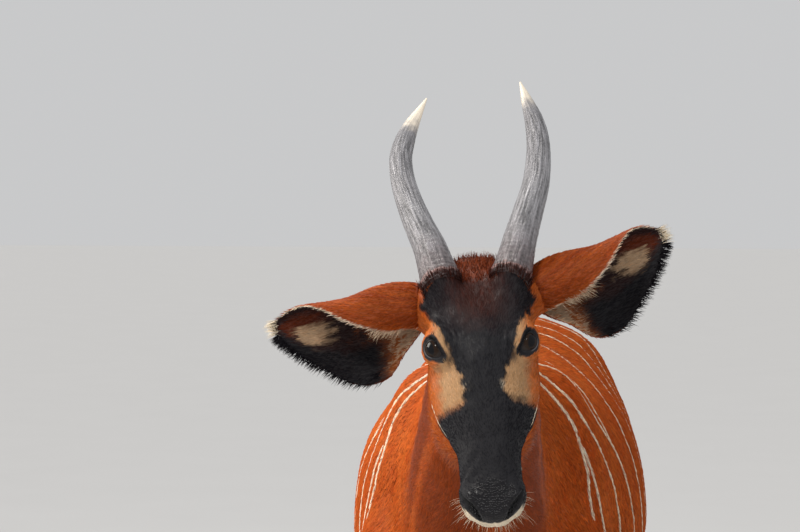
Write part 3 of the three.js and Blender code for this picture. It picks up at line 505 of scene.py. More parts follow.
def net_triangles(inside, number):
    """One quad round each lattice edge that the surface crosses, as two triangles, between the points of the
    four cells beside it."""
    triangles = []
    for axis in range(3):
        u, w = np.eye(3, dtype=int)[[(axis + 1) % 3, (axis + 2) % 3]]
        start = np.argwhere(np.diff(inside, axis=axis))
        start = start[(start[:, (axis + 1) % 3] > 0) & (start[:, (axis + 2) % 3] > 0)]
        ring = [number[tuple((start - shift).T)] for shift in (0 * u, u, u + w, w)]
        quads = np.stack(ring, axis=1)
        turned = ~inside[tuple(start.T)]
        quads[turned] = quads[turned][:, ::-1]
        triangles += [quads[:, [0, 1, 2]], quads[:, [0, 2, 3]]]
    return np.vstack(triangles)


def surface_net(values, cell):
    """The zero surface of a lattice, with a point in each cell that it crosses, at the mean of its crossings
    with the cell's edges."""
    inside = values < 0
    size = np.array(values.shape)
    shifted = [tuple(slice(c, n - 1 + c) for c, n in zip(corner, size)) for corner in CORNERS]
    count = sum(inside[part].astype(int) for part in shifted)
    active = (count > 0) & (count < 8)
    cells = np.argwhere(active)
    v = values[tuple((cells[:, None] + CORNERS).transpose(2, 0, 1))]
    a, b = v[:, EDGES[:, 0]], v[:, EDGES[:, 1]]
    crossed = (a < 0) != (b < 0)
    t = np.where(crossed, a / np.where(crossed, a - b, 1), 0)[..., None]
    at = (CORNERS[EDGES[:, 0]] * (1 - t) + CORNERS[EDGES[:, 1]] * t) * crossed[..., None]
    points = LATTICE_LOW + cell * (cells + at.sum(axis=1) / crossed.sum(axis=1)[:, None])
    number = np.full(active.shape, -1)
    number[active] = np.arange(len(cells))
    return points, net_triangles(inside, number)


def edge_table(triangles):
    """Each edge once, as its two points, and the number of each triangle's three edges."""
    pairs = np.sort(triangles[:, [[0, 1], [1, 2], [2, 0]]], axis=2).reshape(-1, 2)
    keys, number = np.unique(pairs[:, 0] * (pairs.max() + 1) + pairs[:, 1], return_inverse=True)
    edges = np.stack([keys // (pairs.max() + 1), keys % (pairs.max() + 1)], axis=1)
    return edges, number.reshape(-1, 3)


def refined(points, triangles, wanted):
    """Each edge longer than wanted gets a point in its middle, and the triangles are split to suit."""
    edges, number = edge_table(triangles)
    middle = points[edges].mean(axis=1)
    split = np.linalg.norm(points[edges[:, 0]] - points[edges[:, 1]], axis=1) > wanted(middle)
    new = np.full(len(edges), -1)
    new[split] = len(points) + np.arange(split.sum())
    cut = new[number]
    count = (cut >= 0).sum(axis=1)
    # Each triangle is turned so that its cut edges come first.
    first = np.where(count == 1, np.argmax(cut >= 0, axis=1), (np.argmin(cut >= 0, axis=1) + 1) % 3)
    turn = (np.arange(3) + first[:, None]) % 3
    (a, b, c), (ab, bc, ca) = (np.take_along_axis(m, turn, axis=1).T for m in (triangles, cut))
    pieces = {
        0: [(a, b, c)],
        1: [(a, ab, c), (ab, b, c)],
        2: [(ab, b, bc), (a, ab, bc), (a, bc, c)],
        3: [(a, ab, ca), (ab, b, bc), (ca, bc, c), (ab, bc, ca)],
    }
    made = [np.stack(corners, axis=1)[count == n] for n, parts in pieces.items() for corners in parts]
    return np.vstack([points, middle[split]]), np.vstack(made)


def gradient(distance, p, reach=0.5):
    """The slope of a distance, by differences over a short reach along each axis."""
    shifts = np.eye(3) * reach
    return np.stack([distance(p + shift) - distance(p - shift) for shift in shifts], axis=1) / (2 * reach)


def settled(distance, p, longest=6.0):
    """Points moved towards the zero surface by Newton's step d g / |g|^2, none further than the limit."""
    g = gradient(distance, p)
    move = g * (distance(p) / np.maximum(dot(g, g), 0.05))[:, None]
    length = np.linalg.norm(move, axis=1, keepdims=True)
    return p - move * np.minimum(1, longest / np.maximum(length, 1e-9))


def evened(points, triangles, share=0.5):
    """Each point moved a share of the way to the mean of its neighbours."""
    edges, _ = edge_table(triangles)
    both = np.vstack([edges, edges[:, ::-1]])
    count = np.bincount(both[:, 0], minlength=len(points))
    mean = np.stack([np.bincount(both[:, 0], points[both[:, 1], c], len(points)) for c in range(3)], axis=1)
    return mix(points, mean / count[:, None], share)


def point_normals(points, triangles):
    """The mean of the normals of the triangles round each point, weighted by their areas."""
    a, b, c = points[triangles].transpose(1, 0, 2)
    flat = np.cross(b - a, c - a)
    total = [np.bincount(triangles.ravel(), np.repeat(flat[:, k], 3), len(points)) for k in range(3)]
    return unit(np.stack(total, axis=1))


# Putting shapes into Blender


def add_object(name, data):
    made = bpy.data.objects.new(name, data)
    bpy.context.scene.collection.objects.link(made)
    return made


def new_piece(name, points, faces, paint=None, smooth=True):
    """A mesh object in the frame's metres, from points in millimetres and rows of three or four corners."""
    mesh = bpy.data.meshes.new(name)
    mesh.vertices.add(len(points))
    mesh.vertices.foreach_set("co", (points / 1000 + SHIFT).ravel())
    mesh.loops.add(faces.size)
    mesh.loops.foreach_set("vertex_index", faces.ravel())
    mesh.polygons.add(len(faces))
    mesh.polygons.foreach_set("loop_start", np.arange(0, faces.size, faces.shape[1]))
    mesh.polygons.foreach_set("use_smooth", np.full(len(faces), smooth))
    mesh.update(calc_edges=True)
    if paint is not None:
        set_values(mesh, "Paint", "FLOAT_COLOR", np.column_stack([paint, np.ones(len(paint))]))
    return add_object(name, mesh)


def set_values(mesh, name, kind, values):
    """A named attribute with one value for each point."""
    attribute = mesh.attributes.new(name, kind, "POINT")
    key = {"FLOAT_COLOR": "color", "FLOAT": "value"}[kind]
    attribute.data.foreach_set(key, np.asarray(values, float).ravel())


def set_uv(piece, name, uv):
    """A UV map from one pair of values for each point."""
    mesh = piece.data
    corners = np.empty(len(mesh.loops), int)
    mesh.loops.foreach_get("vertex_index", corners)
    mesh.uv_layers.new(name=name).data.foreach_set("uv", uv[corners].ravel())


def finish_piece(piece, material, slot, *nodes):
    """Gives a piece its material, its body, its slot and the nodes that it stands for."""
    piece.data.materials.append(material)
    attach(piece, "root")
    if nodes:
        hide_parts(*nodes)


def grid_faces(rows, columns, closed=True):
    """Quads between neighbouring rows of a grid of points, closed round its columns or open."""
    i, j = np.meshgrid(np.arange(rows - 1), np.arange(columns if closed else columns - 1), indexing="ij")
    k = (j + 1) % columns
    row, after = i * columns, (i + 1) * columns
    return np.stack([row + j, row + k, after + k, after + j], axis=-1).reshape(-1, 4)


def tube_triangles(rows, columns):
    """The quads of a closed tube as triangles, with a fan over each end on a point of its own."""
    q = grid_faces(rows, columns)
    ring = np.arange(columns)
    after = (ring + 1) % columns
    last = (rows - 1) * columns
    start, end = np.full(columns, rows * columns), np.full(columns, rows * columns + 1)
    fans = [np.stack([start, after, ring], axis=1), np.stack([end, last + ring, last + after], axis=1)]
    return np.vstack([q[:, [0, 1, 2]], q[:, [0, 2, 3]], *fans])


def outward(points, triangles):
    """The triangles turned to face outwards: their volume, the sum of a . (b x c) / 6, is positive."""
    a, b, c = points[triangles].transpose(1, 0, 2)
    return triangles if dot(a, np.cross(b, c)).sum() > 0 else triangles[:, ::-1]


def closed_tube(rings):
    """The points and outward triangles of a tube from rings, closed on the mean of each end ring."""
    points = np.vstack([rings.reshape(-1, 3), rings[0].mean(axis=0), rings[-1].mean(axis=0)])
    return points, outward(points, tube_triangles(len(rings), rings.shape[1]))


def frames_along(path):
    """The tangent and two normals along a path. The first normal is the x axis less its part along the
    tangent, which keeps the frames from twisting."""
    tangent = unit(np.gradient(path, axis=0))
    level = np.broadcast_to((1.0, 0, 0), path.shape)
    across = unit(level - dot(level, tangent)[:, None] * tangent)
    return tangent, across, np.cross(tangent, across)


def tube_rings(path, radii, sides, flat=1.0):
    """Rings p + r (cos a across + flat sin a up) along a path. The radii may differ round a ring."""
    _, across, up = frames_along(path)
    angle = 2 * np.pi * np.arange(sides) / sides
    radii = np.broadcast_to(np.reshape(radii, (len(path), -1)), (len(path), sides))[..., None]
    spokes = np.cos(angle)[:, None] * across[:, None] + flat * np.sin(angle)[:, None] * up[:, None]
    return path[:, None] + radii * spokes


def waves(p, size, seed, count=9):
    """A soft random field of about -1 to 1: the mean of sines along random ways, about a size apart."""
    draw = np.random.default_rng(seed)
    ways = unit(draw.normal(size=(count, p.shape[-1])))
    turns = ways * (2 * np.pi / (size * draw.uniform(0.7, 1.5, (count, 1))))
    return np.sin(p @ turns.T + draw.uniform(0, 2 * np.pi, count)).sum(axis=-1) / math.sqrt(count) * 0.8


# Horns: leaning back, bowed out and in again at the tips. Rows in the head's axes: left, up, out, radius.
HORNS = {
    "left": [
        (46, 101, -17, 28.6),
        (54, 129, -24, 25.6),
        (62, 158, -31, 23.6),
        (77, 205, -44, 21.2),
        (90, 248, -58, 19.4),
        (97, 291, -70, 17.7),
        (99, 325, -77, 16.2),
        (96, 356, -79, 13.6),
        (88, 386, -75, 8.6),
        (81, 410, -67, 2.2),
    ],
    "right": [
        (-46, 101, -17, 28.6),
        (-52, 129, -24, 25.4),
        (-58, 156, -30, 23.2),
        (-69, 191, -40, 21),
        (-79, 227, -52, 19.2),
        (-88, 270, -64, 17.6),
        (-90, 308, -73, 16.4),
        (-84, 335, -78, 14.9),
        (-72, 363, -79, 11.2),
        (-49, 398, -71, 2.2),
    ],
}
HORN_RINGS, HORN_SIDES = 260, 72


def horn_rings(name):
    """The horn as rings along its bow. The radius carries rings of growth that fade upwards, a keel that
    turns half round, and long grooves: sines of the angle whose phase drifts slowly along the horn."""
    t = np.linspace(-0.4, 9, HORN_RINGS)
    rows = hermite(HORNS[name], np.maximum(t, 0))
    start = (rows[20, :3] - rows[12, :3]) / (t[20] - t[12])
    path = rows[:, :3] + np.minimum(t, 0)[:, None] * start
    radius = rows[:, 3] - 1.2 + 0.5 * bell(t, 0.1, 0.14)
    angle = 2 * np.pi * np.arange(HORN_SIDES) / HORN_SIDES
    around = np.stack(np.broadcast_arrays(np.cos(angle), np.sin(angle), t[:, None]), axis=-1)
    grooves = waves(around * (1, 1, 0.10), 0.26, 5, 14) + 0.5 * waves(around * (1, 1, 0.35), 0.13, 6, 14)
    growth = np.sin(t * 25 + 2 * waves(around, 2.5, 8)[:, 0]) * np.exp(-t / 1.6)
    keel = bell(np.cos(angle - 1.2 - 0.35 * t[:, None]), 1, 0.25)
    slim = step(9, 7.5, t)[:, None]
    steps = 0.35 * (growth * step(-0.1, 0.2, t))[:, None]
    radii = radius[:, None] + slim * (0.3 * grooves + 0.9 * keel) + steps
    return t, tube_rings(path, np.maximum(radii, 1.2), HORN_SIDES)


HORN_ROOT = np.array((0.03, 0.012, 0.012))
HORN_FOOT = np.array((0.36, 0.19, 0.17))
HORN_BASE = np.array((0.13, 0.108, 0.112))
HORN_MIDDLE = np.array((0.23, 0.226, 0.24))
HORN_TIP = np.array((0.80, 0.71, 0.58))


def horn_paint(t, grain):
    """Grey, darker and warmer at the base, ivory at the tip, with a pink ring at the foot."""
    colour = mix(HORN_BASE, HORN_MIDDLE, step(0.2, 3.0, t + 0.3 * grain)[..., None])
    colour = mix(colour, HORN_TIP, step(7.4, 8.5, t + 0.12 * grain)[..., None])
    colour = mix(colour, HORN_FOOT, 0.8 * step(0.22, 0.02, t + 0.12 * grain)[..., None])
    return mix(colour, HORN_ROOT, step(-0.02, -0.2, t + 0.1 * grain)[..., None])


# Ears: a leaf rolled into a tube at its root, which opens out and turns to face forward. Rows: place
# along, half width, half angle of the roll, turn of the opening, hang of the middle, thickness and drop
# of the lower lobe.
EAR_ROWS = [
    (0, 80, 165, 84, 0, 8, 0),
    (0.15, 86, 152, 82, -5, 7.4, 26),
    (0.3, 90, 122, 72, -3, 6.4, 44),
    (0.5, 84, 92, 54, 8, 5.4, 28),
    (0.7, 62, 70, 34, 12, 4.4, 7),
    (0.85, 39, 56, 20, 10, 3.8, 0),
    (0.95, 19, 46, 10, 4, 3, 0),
    (1, 8, 40, 6, 0, 2.4, 0),
]
EAR_TUBE = 29
# The way that the openings of the ears turn to, in the head's axes
EARS_FACE = np.array([0, -0.357, 0.934])


def ear_point(ear, place, s, lift):
    """A point of an ear: place runs over the rows, s from the lower edge (-1) to the upper, and lift is
    off the leaf's middle in thicknesses. The leaf is an arc of radius width / angle about its own centre
    line."""
    place, s, lift = np.broadcast_arrays(place, s, lift)
    shape, s, lift = place.shape, s.ravel()[:, None], lift.ravel()[:, None]
    rows = hermite(EAR_ROWS, place.ravel())
    t, width, roll, turn, hang, thick, drop = rows.T[:, :, None]
    out = unit(EARS_FACE - dot(EARS_FACE, ear.along) * ear.along)
    down = np.cross(ear.along, out) * ear.side
    angle, turn = np.radians(roll), np.radians(turn)
    radius = width / angle * (1 - 0.15 * step(0.4, -0.3, place.ravel()[:, None]))
    face = out * np.cos(turn) + down * np.sin(turn)
    across = out * np.sin(turn) - down * np.cos(turn)
    low = hang + drop * np.maximum(-s, 0) ** 1.4
    centre = ear.root + ear.along * t * EAR_LENGTH + face * (radius - EAR_TUBE + 10 * t * t) + down * low
    spoke = across * np.sin(angle * s) - face * np.cos(angle * s)
    return (centre + spoke * (radius + lift * thick * (1 - 0.35 * s * s))).reshape(*shape, 3)


EAR_PLACES, EAR_COLUMNS = 90, 96


def ear_rings(ear):
    """Closed rings round the leaf: s = -cos a, and lift = sin a to a low power, which rounds the edges."""
    place = np.linspace(-0.3, len(EAR_ROWS) - 1, EAR_PLACES)[:, None]
    a = 2 * np.pi * (np.arange(EAR_COLUMNS) + 0.5) / EAR_COLUMNS
    lift = 0.5 * np.sign(np.sin(a)) * np.abs(np.sin(a)) ** 0.4
    s = -np.cos(a)
    ribs = np.where(lift < 0, 0.5 * np.sin(9 * s + 0.6 * place) * step(0.3, 2, place) * step(7, 5, place), 0)
    lift = lift + 0.16 * ribs
    place, s = np.broadcast_to(place, lift.shape), np.broadcast_to(s, lift.shape)
    return place, s, lift, ear_point(ear, place, s, lift)


# Tail, from the root down to the end of its bone: x, y, z, radius
TAIL = [
    (0, 660, 963, 23),
    (0, 690, 938, 17.5),
    (2, 703, 880, 13.5),
    (3, 705, 790, 11),
    (4, 700, 700, 9.5),
    (4, 695, 620, 8),
]


def tail_rings():
    rows = hermite(TAIL, np.linspace(-0.35, len(TAIL) - 1, 90))
    return tube_rings(rows[:, :3], rows[:, 3] - 1.6, 28)


# Claws: height, centre ahead of or behind the leg's end, half length, half width
CLAW_STEPS = [
    (0, -14, 48, 16.6),
    (8, -14.5, 49, 17.6),
    (25, -10, 43, 17.8),
    (42, -4, 37, 17.2),
    (57.7, 0, 33.4, 16.4),
]
CLAW_GAP = 1.3
HOOF_GREY = 0.035
# Dewclaws of a left leg, root and tip: x and y from the middle of the fetlock, z from the floor
DEW_CLAW = {
    "front": ((15, 24, 118), (20, 42, 92)),
    "hind": ((15, 26, 122), (20, 44, 96)),
}


def claw_rings(side, end):
    """Level rings x = |cos|^0.8 w, y = l sin, narrowed to the toe, with fine growth rings down the wall."""
    t = np.hstack([np.linspace(0, 0.12, 5), np.linspace(0.2, 4, 44)])
    z, y, length, width = hermite(CLAW_STEPS, t).T[:, :, None]
    a = 2 * np.pi * np.arange(56) / 56
    s, c = np.sin(a), np.cos(a)
    rounded = 1 - 0.05 * step(3.5, 0, z)
    ridge = 1 + 0.006 * np.sin(z * 1.5 + 1.2 * s) * step(2, 8, z)
    narrow = 1 - 0.28 * np.maximum(-s, 0) ** 2
    x = side * (width + CLAW_GAP) + np.sign(c) * np.abs(c) ** 0.8 * width * narrow * ridge * rounded
    y = y + length * s * ridge * rounded
    return np.stack([x + end[0], y + end[1], np.broadcast_to(z, x.shape)], axis=-1)


def dew_claw_rings(side, kind, spot):
    """A short cone from the pastern, with radii 8.6 to 3.8 on a smooth curve and a blunt end."""
    top, low = (mirrored(p, side) for p in DEW_CLAW[kind])
    t = np.linspace(-0.1, 1, 18)
    radii = hermite([(8.6,), (9.6,), (8.6,), (3.8,)], np.maximum(t, 0) * 3)[:, 0]
    return tube_rings(mix(top, low, t[:, None]) + (spot[0], spot[1], 0), radii, 20, flat=0.8)


# Eyes and lids


def eye_axes(side):
    """The eye's axes as rows: along its opening to the poll, across it to the upper lid, and out of it."""
    out = mirrored(EYE_AXIS, side)
    long = mirrored((0.2, 1, -0.1), side)
    long = unit(long - dot(long, out) * out)
    return np.stack([long, np.cross(out, long) * side, out])


def on_eye(side, angle, polar, radius):
    """A point by an eye, from its angle about the axis, its angle from the axis and its distance."""
    long, across, out = eye_axes(side)
    round_axis = np.cos(angle)[..., None] * long + np.sin(angle)[..., None] * across
    spoke = np.sin(polar)[..., None] * round_axis + np.cos(polar)[..., None] * out
    return mirrored(EYE, side) + np.asarray(radius)[..., None] * spoke


# The rim of the lids: polar angle in degrees at each 30 degrees, from the poll's end over the upper lid.
RIM = [38, 33, 28, 28, 37, 57, 48, 37, 33, 32, 33, 36]


def rim_at(angle):
    rows = np.array(RIM, float)[:, None]
    rows = np.vstack([rows, rows, rows])
    return np.radians(hermite(rows, 12 + (angle % (2 * np.pi)) / (np.pi / 6))[:, 0])


# Across a lid from its hidden inner edge to its skirt: degrees past the rim, and radius
LID_DEGREES = [-6, -1.5, 0, 1.5, 4.5, 8, 12, 16, 21]
LID_RADII = [19.0, 19.5, 20.1, 20.9, 21.4, 21.4, 20.8, 19.9, 18.6]
LID_RINGS, LID_SIDES = 44, 120
EYE_RINGS, EYE_SIDES = 80, 96


def lid_grid(side):
    """Lids as rings round the eye: a rounded edge on the ball, a fold, and a skirt under the skin."""
    angle = 2 * np.pi * np.arange(LID_SIDES) / LID_SIDES
    past, radius = hermite(np.transpose([LID_DEGREES, LID_RADII]), np.linspace(0, 8, LID_RINGS)).T
    polar = rim_at(angle) + np.radians(past)[:, None]
    upper = step(-0.2, 0.9, np.sin(angle))
    fold = 0.9 * bell(past, 4.5, 3)[:, None] * upper - 0.7 * bell(past, 10, 2.5)[:, None] * upper
    wrinkle = 0.2 * np.sin(past[:, None] * 1.3 + 2 * np.sin(angle * 3)) * bell(past, 9, 4)[:, None]
    radius = radius[:, None] + fold + wrinkle
    return angle, past, on_eye(side, np.broadcast_to(angle, polar.shape), polar, radius)


def eyeball_rings(side):
    """A sphere 0.4 under the eye's radius, with a clear bulge: 0.9 more inside 24 degrees, none past 38."""
    polar = np.linspace(0.02, np.pi - 0.02, EYE_RINGS)[:, None]
    radius = EYE_RADIUS - 0.4 + 0.9 * step(38, 24, np.degrees(polar))
    angle, polar = np.broadcast_arrays(2 * np.pi * np.arange(EYE_SIDES) / EYE_SIDES, polar)
    return on_eye(side, angle, polar, radius)


# Materials


class Nodes:
    """Short ways to add and join the nodes of a material."""

    def __init__(self, name):
        self.material = bpy.data.materials.new(name)
        self.material.use_nodes = True
        self.tree = self.material.node_tree
        self.shader = self.tree.nodes["Principled BSDF"]

    def add(self, kind, **inputs):
        """A node of a kind, with its own settings and with its inputs set or joined."""
        node = self.tree.nodes.new("ShaderNode" + kind)
        for name, value in inputs.items():
            socket = node.inputs.get(name.replace("_", " ").title())
            if socket:
                self.set(socket, value)
            else:
                setattr(node, name, value)
        return node

    def set(self, socket, value):
        if isinstance(value, bpy.types.NodeSocket):
            self.tree.links.new(value, socket)
        else:
            socket.default_value = value

    def finish(self, **inputs):
        """Sets or joins the shader's inputs."""
        for name, value in inputs.items():
            self.set(self.shader.inputs[name.replace("_", " ").title().replace("Ior", "IOR")], value)
        return self.material

    def noise(self, scale, detail=3.0, stretch=None, vector=None):
        """Noise on Object coordinates, or on another vector, stretched by a factor on each axis."""
        place = vector or self.add("TexCoord").outputs["Object"]
        if stretch:
            place = self.add("Mapping", vector=place, scale=stretch).outputs[0]
        return self.add("TexNoise", vector=place, scale=scale, detail=detail).outputs["Fac"]

    def paint(self, low, high, factor):
        """The colour attribute, lighter and darker between two gains by a factor."""
        colour = self.add("Attribute", attribute_name="Paint").outputs["Color"]
        gain = self.spread(factor, to_min=low, to_max=high)
        return self.add("VectorMath", operation="SCALE", scale=gain, vector=colour).outputs[0]

    def spread(self, value, **limits):
        """A value spread from one range to another."""
        return self.add("MapRange", value=value, **limits).outputs[0]

    def blend(self, factor, a, b):
        return self.add("Mix", factor=factor, a=a, b=b).outputs[0]

    def bump(self, height, distance, strength):
        return self.add("Bump", height=height, distance=distance, strength=strength).outputs[0]


def hair_skin_material():
    """Finely grained skin under hair. Where it is wet it is smooth, with a bead at each Voronoi point."""
    n = Nodes("Hair and skin")
    grain = n.noise(420, 4)
    colour = n.paint(0.72, 1.18, grain)
    wet = n.add("Attribute", attribute_name="Wet").outputs["Fac"]
    dry = n.spread(grain, to_min=0.5, to_max=0.7)
    rough = n.blend(wet, dry, 0.2)
    place = n.add("TexCoord").outputs["Object"]
    beads = n.add("TexVoronoi", vector=place, scale=330, randomness=0.8).outputs["Distance"]
    dome = n.add("Math", operation="POWER")
    n.set(dome.inputs[0], beads)
    dome.inputs[1].default_value = 2.0
    bead = n.spread(dome.outputs[0], from_max=0.4, to_min=1.0, to_max=0.0)
    height = n.blend(wet, n.noise(1300, 3), bead)
    bump = n.bump(height, 0.0008, 0.9)
    return n.finish(base_color=colour, roughness=rough, normal=bump, specular_ior_level=0.24)


def tuft_material(name, grain, rough, shine):
    n = Nodes(name)
    colour = n.paint(0.88, 1.12, n.noise(grain, 2))
    return n.finish(base_color=colour, roughness=rough, specular_ior_level=shine)


def horn_material():
    """Streaks along the horn and fine mottling, which give way to a polished tip."""
    n = Nodes("Horn")
    along = n.add("UVMap", uv_map="Along").outputs[0]
    streak = n.noise(4, 6, (5, 2.2, 1), along)
    mottle = n.noise(330, 5)
    both = n.blend(0.3, streak, mottle)
    grained = n.spread(both, from_min=0.36, from_max=0.62)
    height = n.add("SeparateXYZ", vector=along).outputs["Y"]
    polished = n.spread(height, from_min=0.78, from_max=0.9)
    clear = n.blend(polished, grained, 0.72)
    colour = n.paint(0.3, 1.3, clear)
    rough = n.spread(clear, to_min=0.42, to_max=0.26)
    return n.finish(base_color=colour, roughness=rough, normal=n.bump(clear, 0.0011, 0.9))


def hoof_material():
    n = Nodes("Hoof")
    wall = n.noise(180, 4, (1, 1, 4))
    colour = n.paint(0.6, 1.35, wall)
    rough = n.spread(wall, to_min=0.35, to_max=0.62)
    bump = n.bump(n.noise(900, 2, (1, 1, 3)), 0.0005, 0.6)
    return n.finish(base_color=colour, roughness=rough, normal=bump)


def eye_material():
    n = Nodes("Eye")
    colour = n.paint(0.8, 1.25, n.noise(1400, 3))
    return n.finish(base_color=colour, roughness=0.05, specular_ior_level=0.17)


def lid_material():
    n = Nodes("Lid")
    grain = n.noise(1100, 3)
    bump = n.bump(grain, 0.0004, 0.6)
    colour = n.paint(0.75, 1.2, grain)
    return n.finish(base_color=colour, roughness=0.42, normal=bump, specular_ior_level=0.22)


@lru_cache(maxsize=None)
def material(name):
    """Each material is made once."""
    made = {
        "skin": hair_skin_material,
        "tuft": lambda: tuft_material("Short hair", 700, 0.5, 0.07),
        "sleek": lambda: tuft_material("Sleek hair of the face", 900, 0.33, 0.09),
        "horn": horn_material,
        "hoof": hoof_material,
        "eye": eye_material,
        "lid": lid_material,
    }
    return made[name]()


# Fine shapes of the face. Paths over it are rows of left, up, out and radius, on the left side.
NOSE_MIDDLE = np.array([0, -176.0, -72])
NOSTRIL = [
    (22, -226, -54, 2.4),
    (28, -216, -47, 4.6),
    (33, -205, -44, 5.2),
    (36, -193, -46, 4.2),
    (38, -181, -50, 1.8),
]
MOUTH = [
    (60, -130, -92, 1),
    (52, -160, -96, 1),
    (44, -196, -97, 1),
    (30, -214, -95, 1),
    (14, -226, -92, 1),
    (0, -230, -92, 1),
]
NOSTRIL_CREASE = [(14, -134, -26, 1.8), (24, -146, -34, 2.2), (36, -158, -46, 2.4), (46, -166, -66, 1.6)]
VEINS = [
    [(23, -52, -14, 1.6), (26, -82, -20, 2.6), (29, -110, -28, 2.8), (27, -136, -34, 1.6)],
    [(52, -60, -46, 1.4), (46, -88, -44, 2.4), (38, -116, -46, 2.6), (34, -140, -50, 1.4)],
    [(40, 50, -8, 1.2), (34, 22, -6, 2), (31, -8, -8, 2.2), (30, -30, -12, 1.2)],
]
JAW_LINE = [(68, -46, -84, 2), (64, -76, -84, 3), (56, -104, -85, 3), (50, -130, -88, 2)]


def on_left(q):
    """Points of the head with those of its right side moved over to the left."""
    return np.column_stack([np.abs(q[:, 0]), q[:, 1:]])


def near_path(q, rows, middle=NOSE_MIDDLE):
    """How far points lie from a path on the face, and the path's nearest row. Both are seen from a
    middle: the distance is the angle between the two directions times the point's reach."""
    path = hermite(rows, np.linspace(0, len(rows) - 1, 8 * len(rows)))
    ray, reach = unit(q - middle), np.linalg.norm(q - middle, axis=1)
    cosine = ray @ unit(path[:, :3] - middle).T
    nearest = np.argmax(cosine, axis=1)
    away = reach * np.arccos(np.clip(cosine[np.arange(len(q)), nearest], -1, 1))
    return away, path[nearest]


def past_rim(q):
    """Degrees past the rim of the nearer eye's lids, the angle about that eye and the distance from it."""
    local = (on_left(q) - EYE) @ eye_axes(1).T
    reach = np.linalg.norm(local, axis=1)
    angle = np.arctan2(local[:, 1], local[:, 0])
    polar = np.arccos(local[:, 2] / np.maximum(reach, 1e-6))
    return np.degrees(polar - rim_at(angle)), angle, reach


def nostril_relief(left):
    """A pit 1.5 of its radius deep, with a raised wing round it."""
    away, spot = near_path(left, NOSTRIL)
    ratio = away / spot[:, 3]
    return -1.5 * spot[:, 3] * (1 - step(0.5, 1.3, ratio)) + 0.2 * spot[:, 3] * bell(ratio, 1.8, 0.45)


def lip_relief(q):
    """The groove of the mouth between two lips."""
    away, spot = near_path(on_left(q), MOUTH)
    above = away * np.sign(q[:, 2] - spot[:, 2])
    lips = step(-118, -140, q[:, 1])
    return lips * (-2.4 * bell(away, 0, 1.5) + 1.1 * bell(above, 4, 2.6) + 0.8 * bell(above, -5, 3))


def nose_relief(q):
    """The groove down the middle of the nose, and the nose drawn in over the upper lip."""
    front = step(-200, -216, q[:, 1])
    return front * (1.1 * step(-92, -82, q[:, 2]) * bell(q[:, 0], 0, 1.7) + 7 * step(-74, -92, q[:, 2]))


def flank_relief(q):
    """The sides of the muzzle: full at the nostrils and hollow before the cheeks."""
    flank = step(20, 33, np.abs(q[:, 0])) * step(-112, -96, q[:, 2])
    return flank * (4.4 * bell(q[:, 1], -174, 27) - 3.6 * bell(q[:, 1], -112, 22))


def crease_relief(left):
    away, spot = near_path(left, NOSTRIL_CREASE)
    return -1.2 * bell(away, 0, spot[:, 3]) + 0.7 * bell(away, 5.5, 3)


def vein_relief(left, vein):
    away, spot = near_path(left, vein, np.array([0, mix(vein[0][1], vein[-1][1], 0.5), -76]))
    return 0.34 * spot[:, 3] * bell(away, 0, spot[:, 3])


def brow_relief(q):
    """Folds round the eyes, which are highest over the brow."""
    _, angle, reach = past_rim(q)
    upper = step(-0.4, 0.7, np.sin(angle))
    return 0.55 * np.sin(reach * 1.15 + 1.5 * waves(q, 30, 3)) * bell(reach, 32, 5) * (0.45 + 0.55 * upper)


def face_relief(q):
    """How far the face stands out of its plain form."""
    left = on_left(q)
    d = nostril_relief(left) + lip_relief(q) - nose_relief(q) + flank_relief(q) + crease_relief(left)
    for vein in VEINS:
        d += vein_relief(left, vein)
    return d + brow_relief(q) + 0.45 * waves(q, 34, 1) + 0.2 * waves(q, 13, 2)


def body_relief(p):
    """Soft hollows and swellings of muscle, and folds that run along the neck."""
    neck = bell(p[:, 1], -640, 90) * step(560, 700, p[:, 2])
    folds = np.sin(np.arctan2(p[:, 0], p[:, 2] - 960) * 17 + 1.2 * waves(p, 150, 12))
    legs = step(470, 380, p[:, 2])
    tendon = bell(np.abs(p[:, 0]), 111, 4.5) * legs * step(60, 150, p[:, 2])
    return 1.6 * waves(p, 170, 11) * (1 - 0.8 * legs) + 0.9 * neck * folds - 1.3 * tendon


def opened(q):
    """The skin drawn in behind each ball, inside the rim of its lids, so that the eye shows."""
    past, _, reach = past_rim(q)
    shut = np.maximum(step(-3, 8, past), step(36, 42, reach))
    centre = EYE * np.where(q[:, :1] > 0, (1, 1, 1), (-1, 1, 1))
    wanted = mix(np.minimum(reach, 16.5), reach, shut)
    return centre + (q - centre) * (wanted / np.maximum(reach, 1e-6))[:, None]


# The longest edges of the skin's triangles, by place
HEAD_EDGE = 3.9
LEG_EDGE = 9
STRIPE_EDGE = 7
MUZZLE_EDGE = 1.8
EYE_EDGE = 1.7


def head_box_gap(q):
    """How far points lie outside a box round the face."""
    return np.linalg.norm(np.maximum(np.abs(q - (0, -45, -80)) - (85, 185, 90), 0), axis=1)


def wanted_edge(p):
    """How long an edge of the skin may be: longer away from the head, but short by fine marks."""
    q = to_head(p)
    gap = head_box_gap(q)
    wanted = np.where(gap > 0, 13 + 0.1 * gap, HEAD_EDGE)
    wanted = np.minimum(wanted, mix(40, LEG_EDGE, step(420, 330, p[:, 2])))
    by_stripe = (stripe_gap(*trunk_place(p))[0] < 7) & (gap > 0)
    wanted = np.where(by_stripe, np.minimum(wanted, STRIPE_EDGE), wanted)
    muzzle = step(-150, -165, q[:, 1]) * (gap <= 0)
    eyes = np.linalg.norm(on_left(q) - EYE, axis=1)
    return mix(mix(wanted, MUZZLE_EDGE, muzzle), EYE_EDGE, step(36, 28, eyes))


